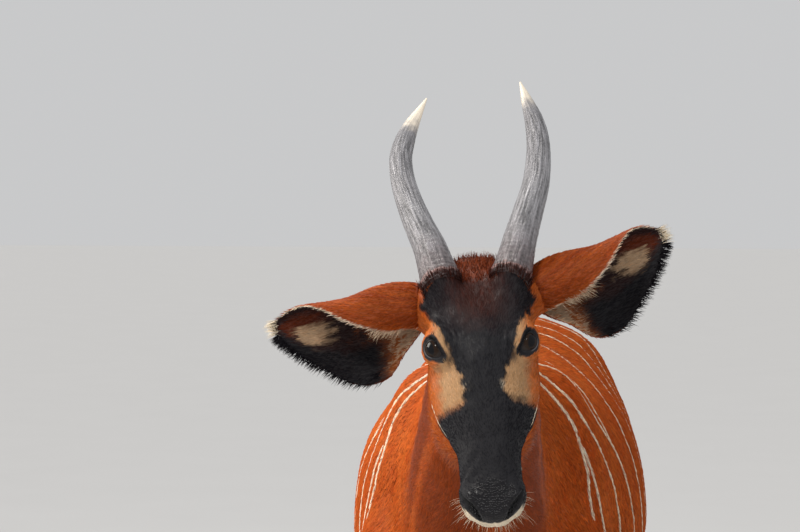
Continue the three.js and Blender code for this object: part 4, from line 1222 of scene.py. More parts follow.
def rounded_muzzle(q):
    """The front corners of the muzzle drawn back by 0.014 x^2, and less towards the nose's bridge."""
    back = 0.014 * np.minimum(np.abs(q[:, 0]), 40) ** 2 * step(-150, -210, q[:, 1])
    return q + back[:, None] * (0, 1, 0)


@lru_cache(maxsize=None)
def skin_mesh():
    """The skin's points, triangles and normals: a net, split finer where needed, settled on the surface,
    rounded at the muzzle, then moved along its normals by the relief and drawn in at the eyes."""
    cell = 10.0
    points, triangles = surface_net(lattice_distances(skin_distance, cell), cell)
    for _ in range(4):
        points, triangles = refined(points, triangles, wanted_edge)
        points = settled(skin_distance, evened(points, triangles))
    points = settled(skin_distance, points)
    triangles = outward(points, triangles)
    q = to_head(points)
    near = head_box_gap(q) < 12
    q[near] = rounded_muzzle(q[near])
    points[near] = from_head(q[near])
    normals = point_normals(points, triangles)
    d = body_relief(points) * step(0, 60, head_box_gap(q))
    d[near] += face_relief(q[near]) * step(12, 0, head_box_gap(q[near]))
    points = points + normals * d[:, None]
    near = head_box_gap(q) <= 0
    points[near] = from_head(opened(to_head(points[near])))
    return points, triangles, point_normals(points, triangles)


# Markings. Colours are albedos in linear light.
Palette = namedtuple("Palette", "chestnut orange tan cream maroon slate ink")

# Stripes down each side: the first and last angle from the ridge of the back, and the place along the
# body (y) at each of the angles below. The second forks off the first, and the fifth joins the fourth.
STRIPE_ANGLES = (15, 30, 45, 60, 75, 90, 108)
STRIPES = [
    (13, 90, -375, -377, -380, -395, -399, -408, -412),
    (56, 99, -384, -384, -384, -384, -373, -378, -382),
    (10, 103, -345, -353, -342, -314, -273, -263, -262),
    (9, 107, -300, -287, -261, -219, -190, -174, -165),
    (11, 57, -130, -180, -223, -219, -210, -200, -190),
    (8, 106, 58, 0, -66, -96, -98, -90, -80),
    (10, 104, 160, 142, 75, 30, 12, 10, 20),
    (8, 106, 236, 240, 165, 128, 112, 112, 118),
    (9, 103, 320, 318, 262, 222, 205, 204, 214),
    (10, 100, 395, 392, 345, 308, 296, 300, 318),
    (9, 96, 462, 460, 425, 398, 388, 398, 410),
    (12, 90, 530, 526, 505, 482, 478, 486, 500),
    (14, 84, 590, 588, 572, 560, 560, 568, 580),
]
STRIPE_HALF_WIDTH = 2.9


def trunk_place(p):
    """The place along the body and the angle in degrees from the ridge of the back, left side positive."""
    s, _ = trunk.place(p)
    centre, across, up, *_ = trunk.at(s)
    q = p - centre
    return p[:, 1], np.degrees(np.arctan2(dot(q, across), dot(q, up)))


def stripe_gap(y, angle):
    """The distance to the nearest stripe, |y - y of the stripe at this angle| with any way past its ends,
    and how far back that stripe runs in each degree down the side."""
    gap, slope = np.full(len(y), 99.0), np.zeros(len(y))
    around = np.abs(angle)
    for i, (first, last, *places) in enumerate(STRIPES):
        wander = 2.2 * np.sin(around / 9 + 2.3 * i + 1.1 * np.sign(angle))
        shift = 9 * (angle < 0) * math.sin(3.1 * i)
        off = np.abs(y - np.interp(around, STRIPE_ANGLES, places) - (wander + shift))
        past = 2.6 * np.maximum(np.maximum(first - around, around - last), 0)
        lower, upper = (np.interp(around + turn, STRIPE_ANGLES, places) for turn in (3, -3))
        run = (lower - upper) / 6
        away = np.hypot(off / np.hypot(1, run / 4), past)
        slope = np.where(away < gap, run, slope)
        gap = np.minimum(gap, away)
    return gap, slope


def painted(colour, *layers):
    """A colour with others laid over it in turn, each by a share of its own at every point."""
    for over, share in layers:
        colour = mix(colour, np.asarray(over, float), np.clip(share, 0, 1)[:, None])
    return colour


# Half the width of the dark forehead and bridge of the nose, by the place up the face
FOREHEAD_PLACES = [-300, -78, -64, -55, -40, -25, 0, 22, 50, 76, 88, 112]
FOREHEAD_HALF = [60, 33, 29, 26, 28, 34, 42, 49, 64, 76, 62, 44]


def cheek_marks(q, soft, tone):
    """Orange streaks, and tan beside the bridge of the nose with orange outside that."""
    y, z = q[:, 1], q[:, 2]
    streak = waves(q * (1, 0.12, 1), 4, 23)
    beside = step(-96, -40, z) * step(66, 44, y) * step(-86, -64, y)
    warm = step(50, 72, np.abs(q[:, 0]) + soft)
    return [
        (tone.orange, 0.35 + 0.3 * streak),
        (mix(tone.tan, tone.cream, 0.12), beside * (1 - warm)),
        (tone.orange, 0.8 * beside * warm),
    ]


def forehead_marks(q, soft, tone):
    """The dark bridge and forehead, redder upwards, with a dark poll and a few pale flecks."""
    y, z, side = q[:, 1], q[:, 2], np.abs(q[:, 0])
    half = np.interp(y, FOREHEAD_PLACES, FOREHEAD_HALF)
    dark = step(half + 2.5, half - 2.5, side + soft) * step(-76, -62, z) * step(118, 102, y + 2 * soft)
    wine = bell(side, 8, 28) * step(10, 66, y + 2 * soft)
    reddish = step(0.1, 1.4, waves(q * (1, 0.15, 1), 6, 24)) * step(20, 70, y)
    poll = step(92, 106, y + soft) * step(46, 34, side) * step(-90, -66, z)
    flecks = bell(side, 23, 3.4) * bell(y, -50, 4.5) * step(0.1, 0.5, waves(q * (1, 0.4, 1), 2.6, 25))
    return [
        (mix(tone.slate, tone.maroon, wine[:, None]), dark),
        (tone.maroon * 2.2, 0.55 * dark * reddish * wine),
        (mix(tone.maroon, tone.chestnut, 0.3), 0.8 * poll),
        (tone.cream, 0.6 * flecks),
    ]


def muzzle_marks(q, soft, tone):
    """The slate muzzle, and the black surround of the eyes with its point towards the nose."""
    x, y, z = q.T
    muzzle = step(-62, -74, y + soft + np.where(x > 0, -3, 5)) * step(-110, -94, z)
    past, angle, reach = past_rim(q)
    socket = step(9.5, 6, past + soft * 0.5 - 4 * step(0.2, 1, np.sin(angle))) * step(45, 38, reach)
    corner = bell(np.abs(x), 41, 5) * bell(y, -12, 8) * step(-50, -38, z)
    return [(tone.slate, muzzle), (tone.ink, socket), (tone.ink, 0.85 * corner)]


def pale_marks(q, soft, tone):
    """The white line along the jaw, the white chin and two soft spots on each cheek."""
    y, z = q[:, 1], q[:, 2]
    away, _ = near_path(on_left(q), JAW_LINE, np.array([0, -90.0, -84]))
    line = step(4.2, 2.6, away + soft * 0.4) * step(-44, -52, y)
    chin = step(-99, -106, z + soft * 0.5) * step(-130, -160, y)
    spots = np.minimum(np.hypot(y + 2, (z + 112) * 1.2) / 12, np.hypot(y + 44, (z + 120) * 1.2) / 10)
    spots = 0.75 * step(1.35, 0.55, spots + soft * 0.07) * step(44, 54, np.abs(q[:, 0]))
    return [(tone.cream, line), (tone.cream * 0.9, chin), (tone.cream, spots)]


def lip_marks(q, soft, tone):
    """White lips and rim over the mouth, the dark line between the lips, the nose pad, and painted shade in
    the nostrils.
    """
    y, z, left = q[:, 1], q[:, 2], on_left(q)
    away, spot = near_path(left, MOUTH)
    above = away * np.sign(z - spot[:, 2])
    reach_up = np.interp(y, [-192, -170, -120], [9, 3.5, 3])
    lip = step(reach_up + 1, reach_up - 1, above + 0.5 * soft) * step(-124, -140, y)
    rim = step(1.2, -0.6, above_lip(q)) * step(-190, -200, y)
    from_nostril, spot = near_path(left, NOSTRIL)
    return [
        (tone.cream, np.maximum(lip, rim)),
        (tone.ink, bell(away, 0, 1.6) * step(-116, -126, y)),
        (tone.ink * 0.8, wet_nose(q)),
        # Painted shade in the nostrils' pits, darker than the black pad.
        (tone.ink * 0.4, step(1.5, 1.0, from_nostril / spot[:, 3])),
    ]


def face_paint(q, tone):
    """The face: chestnut under its markings, whose edges all waver by one soft field."""
    soft = waves(q, 15, 21) * 2.2 + waves(q, 5, 22) * 1.2
    marks = [cheek_marks, forehead_marks, muzzle_marks, pale_marks, lip_marks]
    layers = [layer for some in marks for layer in some(q, soft, tone)]
    return painted(np.tile(tone.chestnut * 0.8, (len(q), 1)), *layers)


def above_lip(q):
    """How far a point of the muzzle's front is above the white rim, whose edge is z = -59 - 0.008 x^2."""
    return q[:, 2] + 59 + 0.008 * q[:, 0] ** 2 + 0.8 * waves(q, 6, 33)


def wet_nose(q):
    """The bare moist pad between and over the nostrils, from 0 to 1."""
    away, _ = near_path(on_left(q), MOUTH)
    edge = 32 + 2 * waves(q, 9, 31)
    top = q[:, 1] + 0.012 * q[:, 0] ** 2 + 3 * waves(q, 12, 32)
    front = step(edge + 4, edge - 4, np.abs(q[:, 0])) * step(-158, -176, top)
    return front * step(8, 12, away) * step(-1.5, 1, above_lip(q))


def on_stripe(p):
    """From 0 to 1 on the stripes of the trunk."""
    y, angle = trunk_place(p)
    gap, _ = stripe_gap(y, angle)
    edge = gap + 0.5 * waves(p, 14, 47)
    return step(STRIPE_HALF_WIDTH + 0.7, STRIPE_HALF_WIDTH - 0.7, edge) * step(560, 600, p[:, 2])


def leg_paint(p, colour, tone):
    """Legs: dark brown from the knee or hock down with a black band there, and white in two patches inside,
    on the fetlock and over the hoof."""
    x, y, z = p.T
    fore = y < 60
    soft = waves(p, 38, 41) * 9 + waves(p, 12, 42) * 3
    knee = np.where(fore, 365, 455)
    patch = np.hypot((z - knee - 150) / 46, (np.abs(x) - 84) / 36) + 0.02 * soft
    garter = np.hypot((z - knee - 38) / 20, (np.abs(x) - 88) / 34) + 0.02 * soft
    leg_itself = np.where(fore, step(-230, -260, y), step(330, 360, y))
    inside = step(112, 96, np.abs(x) + 0.3 * soft)
    front = step(-6, 4, np.where(fore, -375, 505) - y - 0.3 * (120 - z))
    fetlock = step(0.4, 0.62, bell(z, 122, 17) + bell(z, 74, 12) + 0.012 * soft)
    return painted(
        colour,
        (tone.maroon * 1.3, 0.72 * step(knee + 70, knee + 10, z + soft)),
        (tone.cream, leg_itself * step(1.12, 0.88, np.minimum(patch, garter))),
        (tone.ink, step(0.55, 0.75, bell(z, knee - 12, 34) + 0.01 * soft) * 0.85),
        (tone.ink, step(178, 150, z + soft) * 0.9),
        (tone.cream, fetlock * np.maximum(front, step(0.5, 1, inside))),
    )


def chest_crescent(p):
    """From 0 to 1 on the chest's white crescent: a band round a rising arc, thinner towards its ends."""
    x, y, z = p.T
    arc = (z + 0.55 * y - 432 - 0.007 * x * x) / (17 - 0.08 * np.abs(x))
    return step(1.15, 0.85, np.hypot(arc, x / 86) + 0.06 * waves(p, 12, 48)) * step(-560, -600, y)


def body_paint(p, tone):
    """The body: chestnut, darker on the belly and ridge, with painted shade over the neck that is lighter
    along strips standing for light on its folds, and with cream stripes and a crescent.
    """
    z = p[:, 2]
    y, angle = trunk_place(p)
    broad = waves(p, 260, 43) * 0.5 + waves(p, 60, 44) * 0.5
    streak = waves(p * (1, 0.25, 0.5), 9, 45)
    # Lengthwise strips round the neck, where the painted shade is eased as painted light on its folds.
    lit_fold_strips = step(0.5, 1.2, np.cos(angle * 0.105 + 1.1 + 0.5 * waves(p, 160, 46)))
    ridge = step(5.5, 2.5, np.abs(angle) + 0.5 * streak) * step(-800, -760, y) * step(640, 600, y)
    colour = painted(
        np.tile(tone.chestnut, (len(p), 1)),
        (tone.orange, 0.22 + 0.16 * broad + 0.12 * streak),
        # Painted shade darkens the neck, less on the strips, which stand for light on its folds.
        (tone.chestnut * 0.5, step(-520, -600, y) * 0.85 * (1 - 0.85 * lit_fold_strips)),
        (tone.maroon, 0.7 * step(700, 590, z + 14 * broad) * step(-480, -440, y)),
        (tone.cream, chest_crescent(p) * step(90, 110, np.abs(angle))),
        (tone.maroon, 0.8 * ridge),
        (mix(tone.cream, tone.orange, 0.12), 0.95 * on_stripe(p)),
    )
    on_leg = step(640, 600, z) * (np.abs(p[:, 0]) > 60)
    return mix(colour, leg_paint(p, colour, tone), on_leg[:, None])


def head_share(p, q, far, near):
    """From 0 on the neck to 1 on the head, softly across the plane between them and near the face's box."""
    return step(14, -14, behind_head(p)) * step(far, near, head_box_gap(q))


def paint_at(p, tone):
    """The coat's colour at each point, on the body and on the head, with soft joins."""
    colour = body_paint(p, tone)
    q = to_head(p)
    share = head_share(p, q, 70, 30)
    near = share > 0
    colour[near] = mix(colour[near], face_paint(q[near], tone), share[near, None])
    return colour


# The coat: flat pointed tufts, each of four triangles

# How light a tuft is at its two root corners, its ridge and its tip
TUFT_SHADES = np.array([0.7, 0.7, 1.0, 1.15])
Sheet = namedtuple("Sheet", "points triangles normals")
Roots = namedtuple("Roots", "place normal triangle weights")


def scattered(sheet, count, seed, weight=None):
    """Roots spread evenly over a sheet by area: every equal step of the summed areas gives the next root,
    and a sequence of steps of 0.7549 and 0.5698 places it inside its triangle."""
    a, b, c = sheet.points[sheet.triangles].transpose(1, 0, 2)
    area = np.linalg.norm(np.cross(b - a, c - a), axis=1)
    area = area if weight is None else area * weight
    total = np.cumsum(area)
    k = np.arange(count)
    spread = np.random.default_rng(seed).uniform(0, 1, count)
    triangle = np.searchsorted(total, (k + spread) / count * total[-1]).clip(0, len(area) - 1)
    u, v = (k * 0.7548776662) % 1, (k * 0.5698402910) % 1
    flip = u + v > 1
    u, v = np.where(flip, 1 - u, u), np.where(flip, 1 - v, v)
    weights = np.column_stack([1 - u - v, u, v])
    corners = sheet.triangles[triangle]
    place = np.einsum("nk,nkc->nc", weights, sheet.points[corners])
    normal = unit(np.einsum("nk,nkc->nc", weights, sheet.normals[corners]))
    return Roots(place, normal, triangle, weights)


def tufts(roots, lie, length, half_width, lift, spread, seed):
    """Points, triangles and shading normals of tufts. From a root, sunk 0.6 mm, two corners stand to its
    sides, a ridge a third of the way along and the tip at its length, raised by the lift's share of the
    length. The normals of the two corners lean to their sides by the spread."""
    draw = np.random.default_rng(seed)
    n = len(roots.place)
    turn = draw.normal(0, 0.16, n)
    along = unit(lie - dot(lie, roots.normal)[:, None] * roots.normal)
    side = np.cross(roots.normal, along)
    along = along * np.cos(turn)[:, None] + side * np.sin(turn)[:, None]
    side = np.cross(roots.normal, along)
    length = (length * draw.uniform(0.75, 1.25, n))[:, None]
    half = (half_width * draw.uniform(0.8, 1.2, n))[:, None]
    lift = (lift * draw.uniform(0.5, 1.5, n))[:, None]
    sway = draw.normal(0, 0.06, n)[:, None]
    low = roots.place - 0.6 * roots.normal
    ridge = roots.place + along * length * 0.34 + roots.normal * (0.45 * half + lift * length * 0.45)
    tip = roots.place + (along + side * sway + roots.normal * lift) * length
    points = np.stack([low - side * half, low + side * half, ridge, tip], axis=1)
    corners = np.array([(0, 2, 1), (0, 3, 2), (1, 2, 3), (0, 1, 3)])
    triangles = (np.arange(n)[:, None, None] * 4 + corners).reshape(-1, 3)
    lean = spread * side
    normals = np.stack([roots.normal - lean, roots.normal + lean, roots.normal, roots.normal], axis=1)
    return points.reshape(-1, 3), triangles, unit(normals).reshape(-1, 3)


def shaded_tufts(colour, seed):
    """Each tuft's colour at its four points: varied from tuft to tuft, darker at the root than the tip."""
    draw = np.random.default_rng(seed)
    gain = draw.lognormal(0, 0.16, len(colour))[:, None, None] * TUFT_SHADES[:, None]
    warm = 1 + draw.normal(0, 0.05, len(colour))[:, None, None] * np.array([1, 0, -1])
    return np.clip(colour[:, None] * gain * warm, 0, 0.95).reshape(-1, 3)


# A tuft's corners in its patch of the bake
BAKE_PATCH = 0.003 * np.array([(-0.5, -0.5), (0.5, -0.5), (0, 0.1), (0, 0.5)])


def patches(uv, corners=BAKE_PATCH):
    """A small patch of the unwrap for each tuft, round its root's place."""
    return (np.clip(uv, 0.004, 0.996)[:, None] + corners).reshape(-1, 2)


def trunk_unwrap(p, low, high):
    """The skin unrolled: the place along the body, and the angle round it."""
    y, angle = trunk_place(p)
    return np.column_stack([(y - low) / (high - low), angle / 360 + 0.5])


def head_unwrap(q):
    """The head unrolled: the place from nose to poll, and the angle round its long axis."""
    return np.column_stack([(q[:, 1] + 245) / 420, np.arctan2(q[:, 0], q[:, 2] + 84) / (2 * np.pi) + 0.5])


def leg_unwrap(p):
    """Both legs of a pair unrolled side by side: height, and the angle round the leg's own middle line."""
    name = "front_left" if p[:, 1].mean() < 60 else "hind_left"
    rows = LEG_LOFTS[name].rows[::-1]
    middle = np.interp(p[:, 2], rows[:, 2], rows[:, 1])
    angle = np.arctan2(np.abs(p[:, 0]) - 114, middle - p[:, 1]) / (4 * np.pi) + 0.25
    return np.column_stack([p[:, 2] / 760, angle + 0.5 * (p[:, 0] < 0)])


def lie_at(p, n):
    """Which way the hair lies: up the face from nose to poll, back and down over the body, down the legs,
    and along each stripe."""
    q = to_head(p)
    on_head = head_share(p, q, 60, 20)
    face = np.column_stack([0.25 * np.sign(q[:, 0]), np.ones(len(p)), np.full(len(p), -0.1)]) @ HEAD_AXES.T
    z, y = p[:, 2], p[:, 1]
    down = np.maximum(step(-640, -430, y), step(700, 560, z))
    body = np.column_stack([0 * z, mix(1, 0.25, down), mix(-0.35, -1, down)])
    gap, slope = stripe_gap(*trunk_place(p))
    along = unit(np.column_stack([0 * z, slope / 4, -1 + 0 * z]))
    body = mix(unit(body), along, (step(16, 7, gap) * step(560, 640, z))[:, None])
    swirl = 0.14 * waves(p, 90, 51) * step(0, 12, gap)
    lie = mix(body, face, on_head[:, None])
    return lie + swirl[:, None] * np.cross(n, lie)


def tuft_sizes(p):
    """Length, half width and lift: smallest on the muzzle, small on the feet, and less on a stripe."""
    q = to_head(p)
    on_head = head_share(p, q, 60, 20)
    up_face = step(-190, 70, q[:, 1])
    feet = step(420, 120, p[:, 2])
    length = mix(mix(12.5, 7.5, feet), mix(3.0, 6.8, up_face), on_head)
    half = mix(mix(1.22, 1.05, feet), mix(0.6, 0.85, up_face), on_head)
    stripe = step(9, 4, stripe_gap(*trunk_place(p))[0]) * (1 - on_head) * step(560, 640, p[:, 2])
    lift = mix(0.13, 0.12, on_head) * (1 - 0.35 * stripe)
    return length * (1 - 0.25 * stripe), half * (1 - 0.15 * stripe), lift


# The parts of the skin that carry a coat piece each, in the order of their numbers, and how many tufts
Region = namedtuple("Region", "name count slot unwrap")
REGIONS = [
    Region("coat_face", 26000, "face", lambda p: head_unwrap(to_head(p))),
    Region("coat_neck", 42000, "coat", lambda p: trunk_unwrap(p, -870, -560)),
    Region("coat_shoulders", 48000, "coat", lambda p: trunk_unwrap(p, -570, -250)),
    Region("coat_ribs", 46000, "coat", lambda p: trunk_unwrap(p, -260, 60)),
    Region("coat_loin", 38000, "coat", lambda p: trunk_unwrap(p, 40, 330)),
    Region("coat_rump", 42000, "coat", lambda p: trunk_unwrap(p, 310, 680)),
    Region("coat_front_legs", 30000, "coat", leg_unwrap),
    Region("coat_hind_legs", 30000, "coat", leg_unwrap),
]


def region_number(p):
    """Which coat piece each point belongs to: head 0, neck to rump by place along the body, then legs."""
    on_head = (behind_head(p) < 0) & (head_box_gap(to_head(p)) < 60)
    number = 1 + np.digitize(p[:, 1], [-565, -255, 50, 320])
    leg = (p[:, 2] < 600) & (np.abs(p[:, 0]) > 50) & ((p[:, 2] < 545) | (np.abs(p[:, 0]) > 92))
    number[leg] = np.where(p[leg, 1] < 60, 6, 7)
    number[on_head] = 0
    return number


def hair_share(p):
    """How thickly the hair stands, from 0 to 1: not on the nose pad or lips, or in nostrils and eyes."""
    q = to_head(p)
    near = head_box_gap(q) <= 0
    q = q[near]
    past, _, reach = past_rim(q)
    hair = (1 - wet_nose(q)) * np.maximum(step(7, 10.5, past), reach > 40)
    away, spot = near_path(on_left(q), NOSTRIL)
    hair *= step(1.3, 1.8, away / spot[:, 3])
    away, _ = near_path(on_left(q), MOUTH)
    share = np.ones(len(p))
    share[near] = hair * step(1.5, 3, away)
    return share


def strands(paths, radius, seed, flat=0.45):
    """Long hairs along rows of paths: three corners round each step, narrowing to a point at the tip. The
    radius runs as 1 - t^1.6, and each hair is flattened across a random direction."""
    draw = np.random.default_rng(seed)
    count, steps, _ = paths.shape
    tangent = unit(np.gradient(paths, axis=1))
    # Gives a piece its material and its body, and hides the nodes that it stands for. The slot is not used.
    aside = unit(draw.normal(size=(count, 1, 3)))
    across = unit(np.cross(tangent, aside))
    up = np.cross(tangent, across)
    t = np.linspace(0, 1, steps)[:-1]
    size = (np.reshape(radius, (-1, 1)) * (1 - t**1.6))[..., None]
    angle = 2 * np.pi * np.arange(3) / 3
    rings = paths[:, :-1, None] + (size * across[:, :-1])[:, :, None] * np.cos(angle)[:, None]
    rings = rings + (size * up[:, :-1])[:, :, None] * (flat * np.sin(angle))[:, None]
    points = np.concatenate([rings.reshape(count, -1, 3), paths[:, -1:]], axis=1)
    q = grid_faces(steps - 1, 3)
    tip, last = 3 * (steps - 1), 3 * (steps - 2)
    ends = [(0, 2, 1), (last, last + 1, tip), (last + 1, last + 2, tip), (last + 2, last, tip)]
    pattern = np.vstack([q[:, [0, 1, 2]], q[:, [0, 2, 3]], ends])
    triangles = (np.arange(count)[:, None, None] * points.shape[1] + pattern).reshape(-1, 3)
    return points.reshape(-1, 3), triangles


def bent_paths(roots, start, end, length, steps=5):
    """Paths that leave one way and bend to another: p(t) = root + L t (start + (end - start) t / 2)."""
    t = np.linspace(0, 1, steps)[None, :, None]
    length = np.reshape(length, (-1, 1, 1))
    start, end = start[:, None], end[:, None]
    return roots[:, None] + length * t * (start + (end - start) * t / 2)


def strand_piece(name, paths, radius, colour, uv, slot, seed, tip_gain=1.2):
    """A piece of long hairs, coloured from root to tip, with a bake patch for each hair."""
    points, triangles = strands(paths, radius, seed)
    per_hair = len(points) // len(paths)
    draw = np.random.default_rng(seed + 1)
    level = np.minimum(np.arange(per_hair) // 3, paths.shape[1] - 1) / (paths.shape[1] - 1)
    gain = mix(0.75, tip_gain, level)[None, :, None] * draw.lognormal(0, 0.2, len(paths))[:, None, None]
    paint = np.clip(np.broadcast_to(colour, (len(paths), 3))[:, None] * gain, 0, 0.95).reshape(-1, 3)
    piece = new_piece(name, points, triangles, paint)
    ring = 2 * np.pi * np.arange(per_hair) / 3
    corners = 0.0015 * np.column_stack([np.cos(ring), np.sin(ring)]) * (1 - 0.9 * level[:, None])
    set_uv(piece, "OFBake", patches(uv, corners))
    finish_piece(piece, material("tuft"), slot)


def coat_piece(name, roots, sizes, lie, colour, uv, slot, seed):
    """A piece of short tufts, which are sleeker and more evenly lit on the face."""
    spread = 0.22 if slot == "face" else 0.5
    points, triangles, normals = tufts(roots, lie, *sizes, spread, seed)
    piece = new_piece(name, points, triangles, shaded_tufts(colour, seed + 1))
    piece.data.normals_split_custom_set_from_vertices(normals.tolist())
    set_uv(piece, "OFBake", patches(uv))
    finish_piece(piece, material("sleek" if slot == "face" else "tuft"), slot)


def tuft_count(context, count):
    """How many tufts to make of a full count."""
    return int(count * context.scene.bongo.density * (1))


def eye_paint(points, side):
    """A near-black eye: a wide pupil in a dark brown iris with fine spokes, and a brown-grey edge."""
    long, across, out = ((points - mirrored(EYE, side)) @ eye_axes(side).T).T
    angle = np.arctan2(across, long)
    polar = np.degrees(np.arctan2(np.hypot(long, across), out))
    spokes = np.sin(angle * 46 + 2 * np.sin(angle * 7))
    iris = np.array((0.017, 0.008, 0.004)) * (1 + 0.35 * spokes[:, None])
    pupil = step(1.2, 0.9, np.hypot(long / 9.0, across / 5.0))
    edge = step(34, 40, polar)
    return painted(iris, ((0.004, 0.004, 0.005), pupil), ((0.02, 0.014, 0.012), edge))


def lid_paint(points, angle, past, tone):
    """Lids: black rims, a thin grey line on the lower one, and the face's own colour beyond."""
    angle, past = (v.ravel() for v in np.broadcast_arrays(angle, past[:, None]))
    line = 0.6 * step(-0.25, -0.6, np.sin(angle)) * step(0.9, -0.2, np.cos(angle)) * bell(past, 0.8, 0.8)
    return painted(face_paint(points, tone), (tone.ink, step(8.5, 5.5, past)), ((0.16, 0.15, 0.16), line))


def ear_back(t, s, soft, tone):
    """The back of an ear: streaked chestnut, with a dark lower edge and a dark band before the tip."""
    streak = waves(np.column_stack([t * 2, s * 9]), 1.2, 63)
    return painted(
        np.tile(tone.chestnut * 0.62, (len(t), 1)),
        (tone.orange, 0.1 + 0.16 * streak),
        (tone.maroon * 0.5, step(0.84, 0.93, t + soft) * step(0.999, 0.97, t)),
        (tone.ink, step(-0.8, -0.93, s + soft) * step(0.3, 0.5, t)),
    )


def ear_front(t, s, soft, tone):
    """The inside of an ear: dark, with a rusty and cream root, a rayed pale patch and a black lower edge."""
    rays = 0.25 * waves(np.column_stack([t * 1.5, s * 7]), 1.0, 65)
    patch = np.hypot((t - 0.64) / 0.13, (s + 0.26) / 0.36) + 3 * soft + rays
    warm = np.hypot((t - 0.72) / 0.2, (s - 0.1) / 0.5) + 2.4 * soft
    return painted(
        np.tile(mix(tone.ink, tone.maroon, 0.45), (len(t), 1)),
        (tone.orange * 0.6, 0.9 * (step(0.42, 0.22, t + soft) * step(0.5, 0.1, s + soft))),
        (mix(tone.tan, tone.cream, 0.5), 0.8 * step(0.26, 0.16, t + 2 * soft) * step(0.3, -0.1, s)),
        (mix(tone.tan, tone.cream, 0.3), 0.85 * step(1.1, 0.5, patch)),
        (tone.chestnut * 0.35, 0.7 * step(1.2, 0.5, warm) * step(0.5, 1.1, patch)),
        (mix(tone.cream, tone.tan, 0.4), step(0.2, 0.07, t + soft) * step(-0.4, 0.3, s)),
        (tone.ink, step(-0.52, -0.66, s + soft) * step(0.2, 0.34, t)),
    )


def ear_paint(p, place, s, lift, tone):
    """Both faces of an ear, with a cream upper edge and tip."""
    t = place / (len(EAR_ROWS) - 1)
    soft = 0.05 * waves(p, 14, 61) + 0.03 * waves(p, 5, 62)
    front, back = ear_front(t, s, soft, tone), ear_back(t, s, soft, tone)
    colour = mix(front, back, step(-0.15, 0.15, lift)[:, None])
    edge = 0.7 * step(0.96, 0.995, s) * step(0.9, 0.84, t)
    return painted(colour, (tone.cream, np.maximum(edge, step(0.955, 0.985, t))))


# Hair of the ears: how many, the span of places and of s, the edge that they grow from, their lengths,
# radius and gain at the tip, and how far they lean along the ear
EarHair = namedtuple("EarHair", "name count places across edge lengths radius gain lean")
EAR_HAIR = [
    EarHair("fringe", 620, (2.2, 6.7), (0.86, 1), -1, (11, 18), 0.8, 1.6, 0.5),
    EarHair("white", 170, (0.8, 2.0), (0.86, 1), 1, (12, 22), 0.45, 1.2, 0.45),
    EarHair("tip", 130, (6.3, 7.0), (-1, 1), 1, (11, 21), 0.5, 1.2, 0.9),
]


def ear_hair(ear, tone, seed):
    """Long hairs of an ear: a dark fringe under its edge, white hair in its opening and a white tip."""
    colours = {"fringe": tone.ink, "white": mix(tone.cream, tone.tan, 0.4), "tip": tone.cream}
    draw = np.random.default_rng(seed)
    for hair in EAR_HAIR:
        count = hair.count
        place = draw.uniform(*hair.places, count)
        s = hair.edge * draw.uniform(*hair.across, count)
        root = ear_point(ear, place, s, draw.uniform(-0.4, 0.3, count))
        edge = ear_point(ear, place, np.full(count, float(hair.edge)), 0)
        stand = unit(edge - ear_point(ear, place, 0.8 * s, 0))
        jitter = draw.normal(0, 0.16, (count, 3))
        start = unit(mix(stand, ear.along, hair.lean) + jitter)
        end = unit(mix(stand, ear.along, hair.lean + 0.25) + (0, -0.25, 0) + jitter)
        paths = from_head(bent_paths(root, start, end, draw.uniform(*hair.lengths, count)))
        uv = np.column_stack([place / (len(EAR_ROWS) - 1), s / 2 + 0.5])
        name = f"hair_ear_{ear.name}_{hair.name}"
        strand_piece(name, paths, hair.radius, colours[hair.name], uv, "coat", seed + 3, hair.gain)


def tail_paint(p, tone):
    """The tail: chestnut above, turning black towards the tuft."""
    colour = np.tile(tone.chestnut, (len(p), 1))
    return painted(colour, (tone.ink * 1.5, step(800, 690, p[:, 2] + 8 * waves(p, 30, 64))))


def strewn(draw, ways, amount):
    """Directions, each turned a little at random."""
    return unit(ways + draw.normal(0, amount, ways.shape))


def tail_tuft(tone):
    """Long black hairs from the lower half of the tail's bone, hanging down."""
    draw = np.random.default_rng(180)
    count = 900
    place = draw.uniform(2.7, len(TAIL) - 1, count)
    rows = hermite(TAIL, place)
    turn = draw.uniform(0, 2 * np.pi, count)
    out = np.column_stack([np.cos(turn), np.sin(turn), -0.9 * np.ones(count)])
    root = rows[:, :3] + unit(out * (1, 1, 0)) * (rows[:, 3:] - 2.5)
    start = strewn(draw, out, 0.15)
    end = strewn(draw, out * (0.1, 0.1, 0) + (0, 0, -1), 0.08)
    paths = bent_paths(root, start * 0.5, end, draw.uniform(75, 118, count), 6)
    uv = np.column_stack([place / (len(TAIL) - 1), turn / (2 * np.pi)])
    strand_piece("hair_tail", paths, 1.0, tone.ink * 2, uv, "coat", 181)


def mane(sheet, middle, tone, longest):
    """A short mane from the neck to the loin: dark hairs that lean back, with cream ones among them."""
    y, angle = trunk_place(middle)
    chosen = (np.abs(angle) < 4.5) & (y > -760) & (y < 545) & (middle[:, 2] > 900)
    roots = scattered(sheet, 2600, 190, chosen)
    draw = np.random.default_rng(191)
    count = len(roots.place)
    tall = np.sin(np.pi * np.clip((roots.place[:, 1] + 780) / 1340, 0.08, 0.92))
    start = strewn(draw, roots.normal, 0.18)
    end = unit((0, 0.9, 0.26) + draw.normal(0, 0.14, (count, 3)))
    length = mix(0.45, 0.95, tall) * longest * draw.uniform(0.75, 1.1, count)
    paths = bent_paths(roots.place - roots.normal, start, end, length)
    pale = draw.uniform(0, 1, count) < 0.13
    colour = np.where(pale[:, None], tone.cream * 0.7, mix(tone.maroon, tone.chestnut, 0.45))
    uv = trunk_unwrap(roots.place, -800, 600)
    strand_piece("hair_mane", paths, 0.75, colour, uv, "coat", 192)


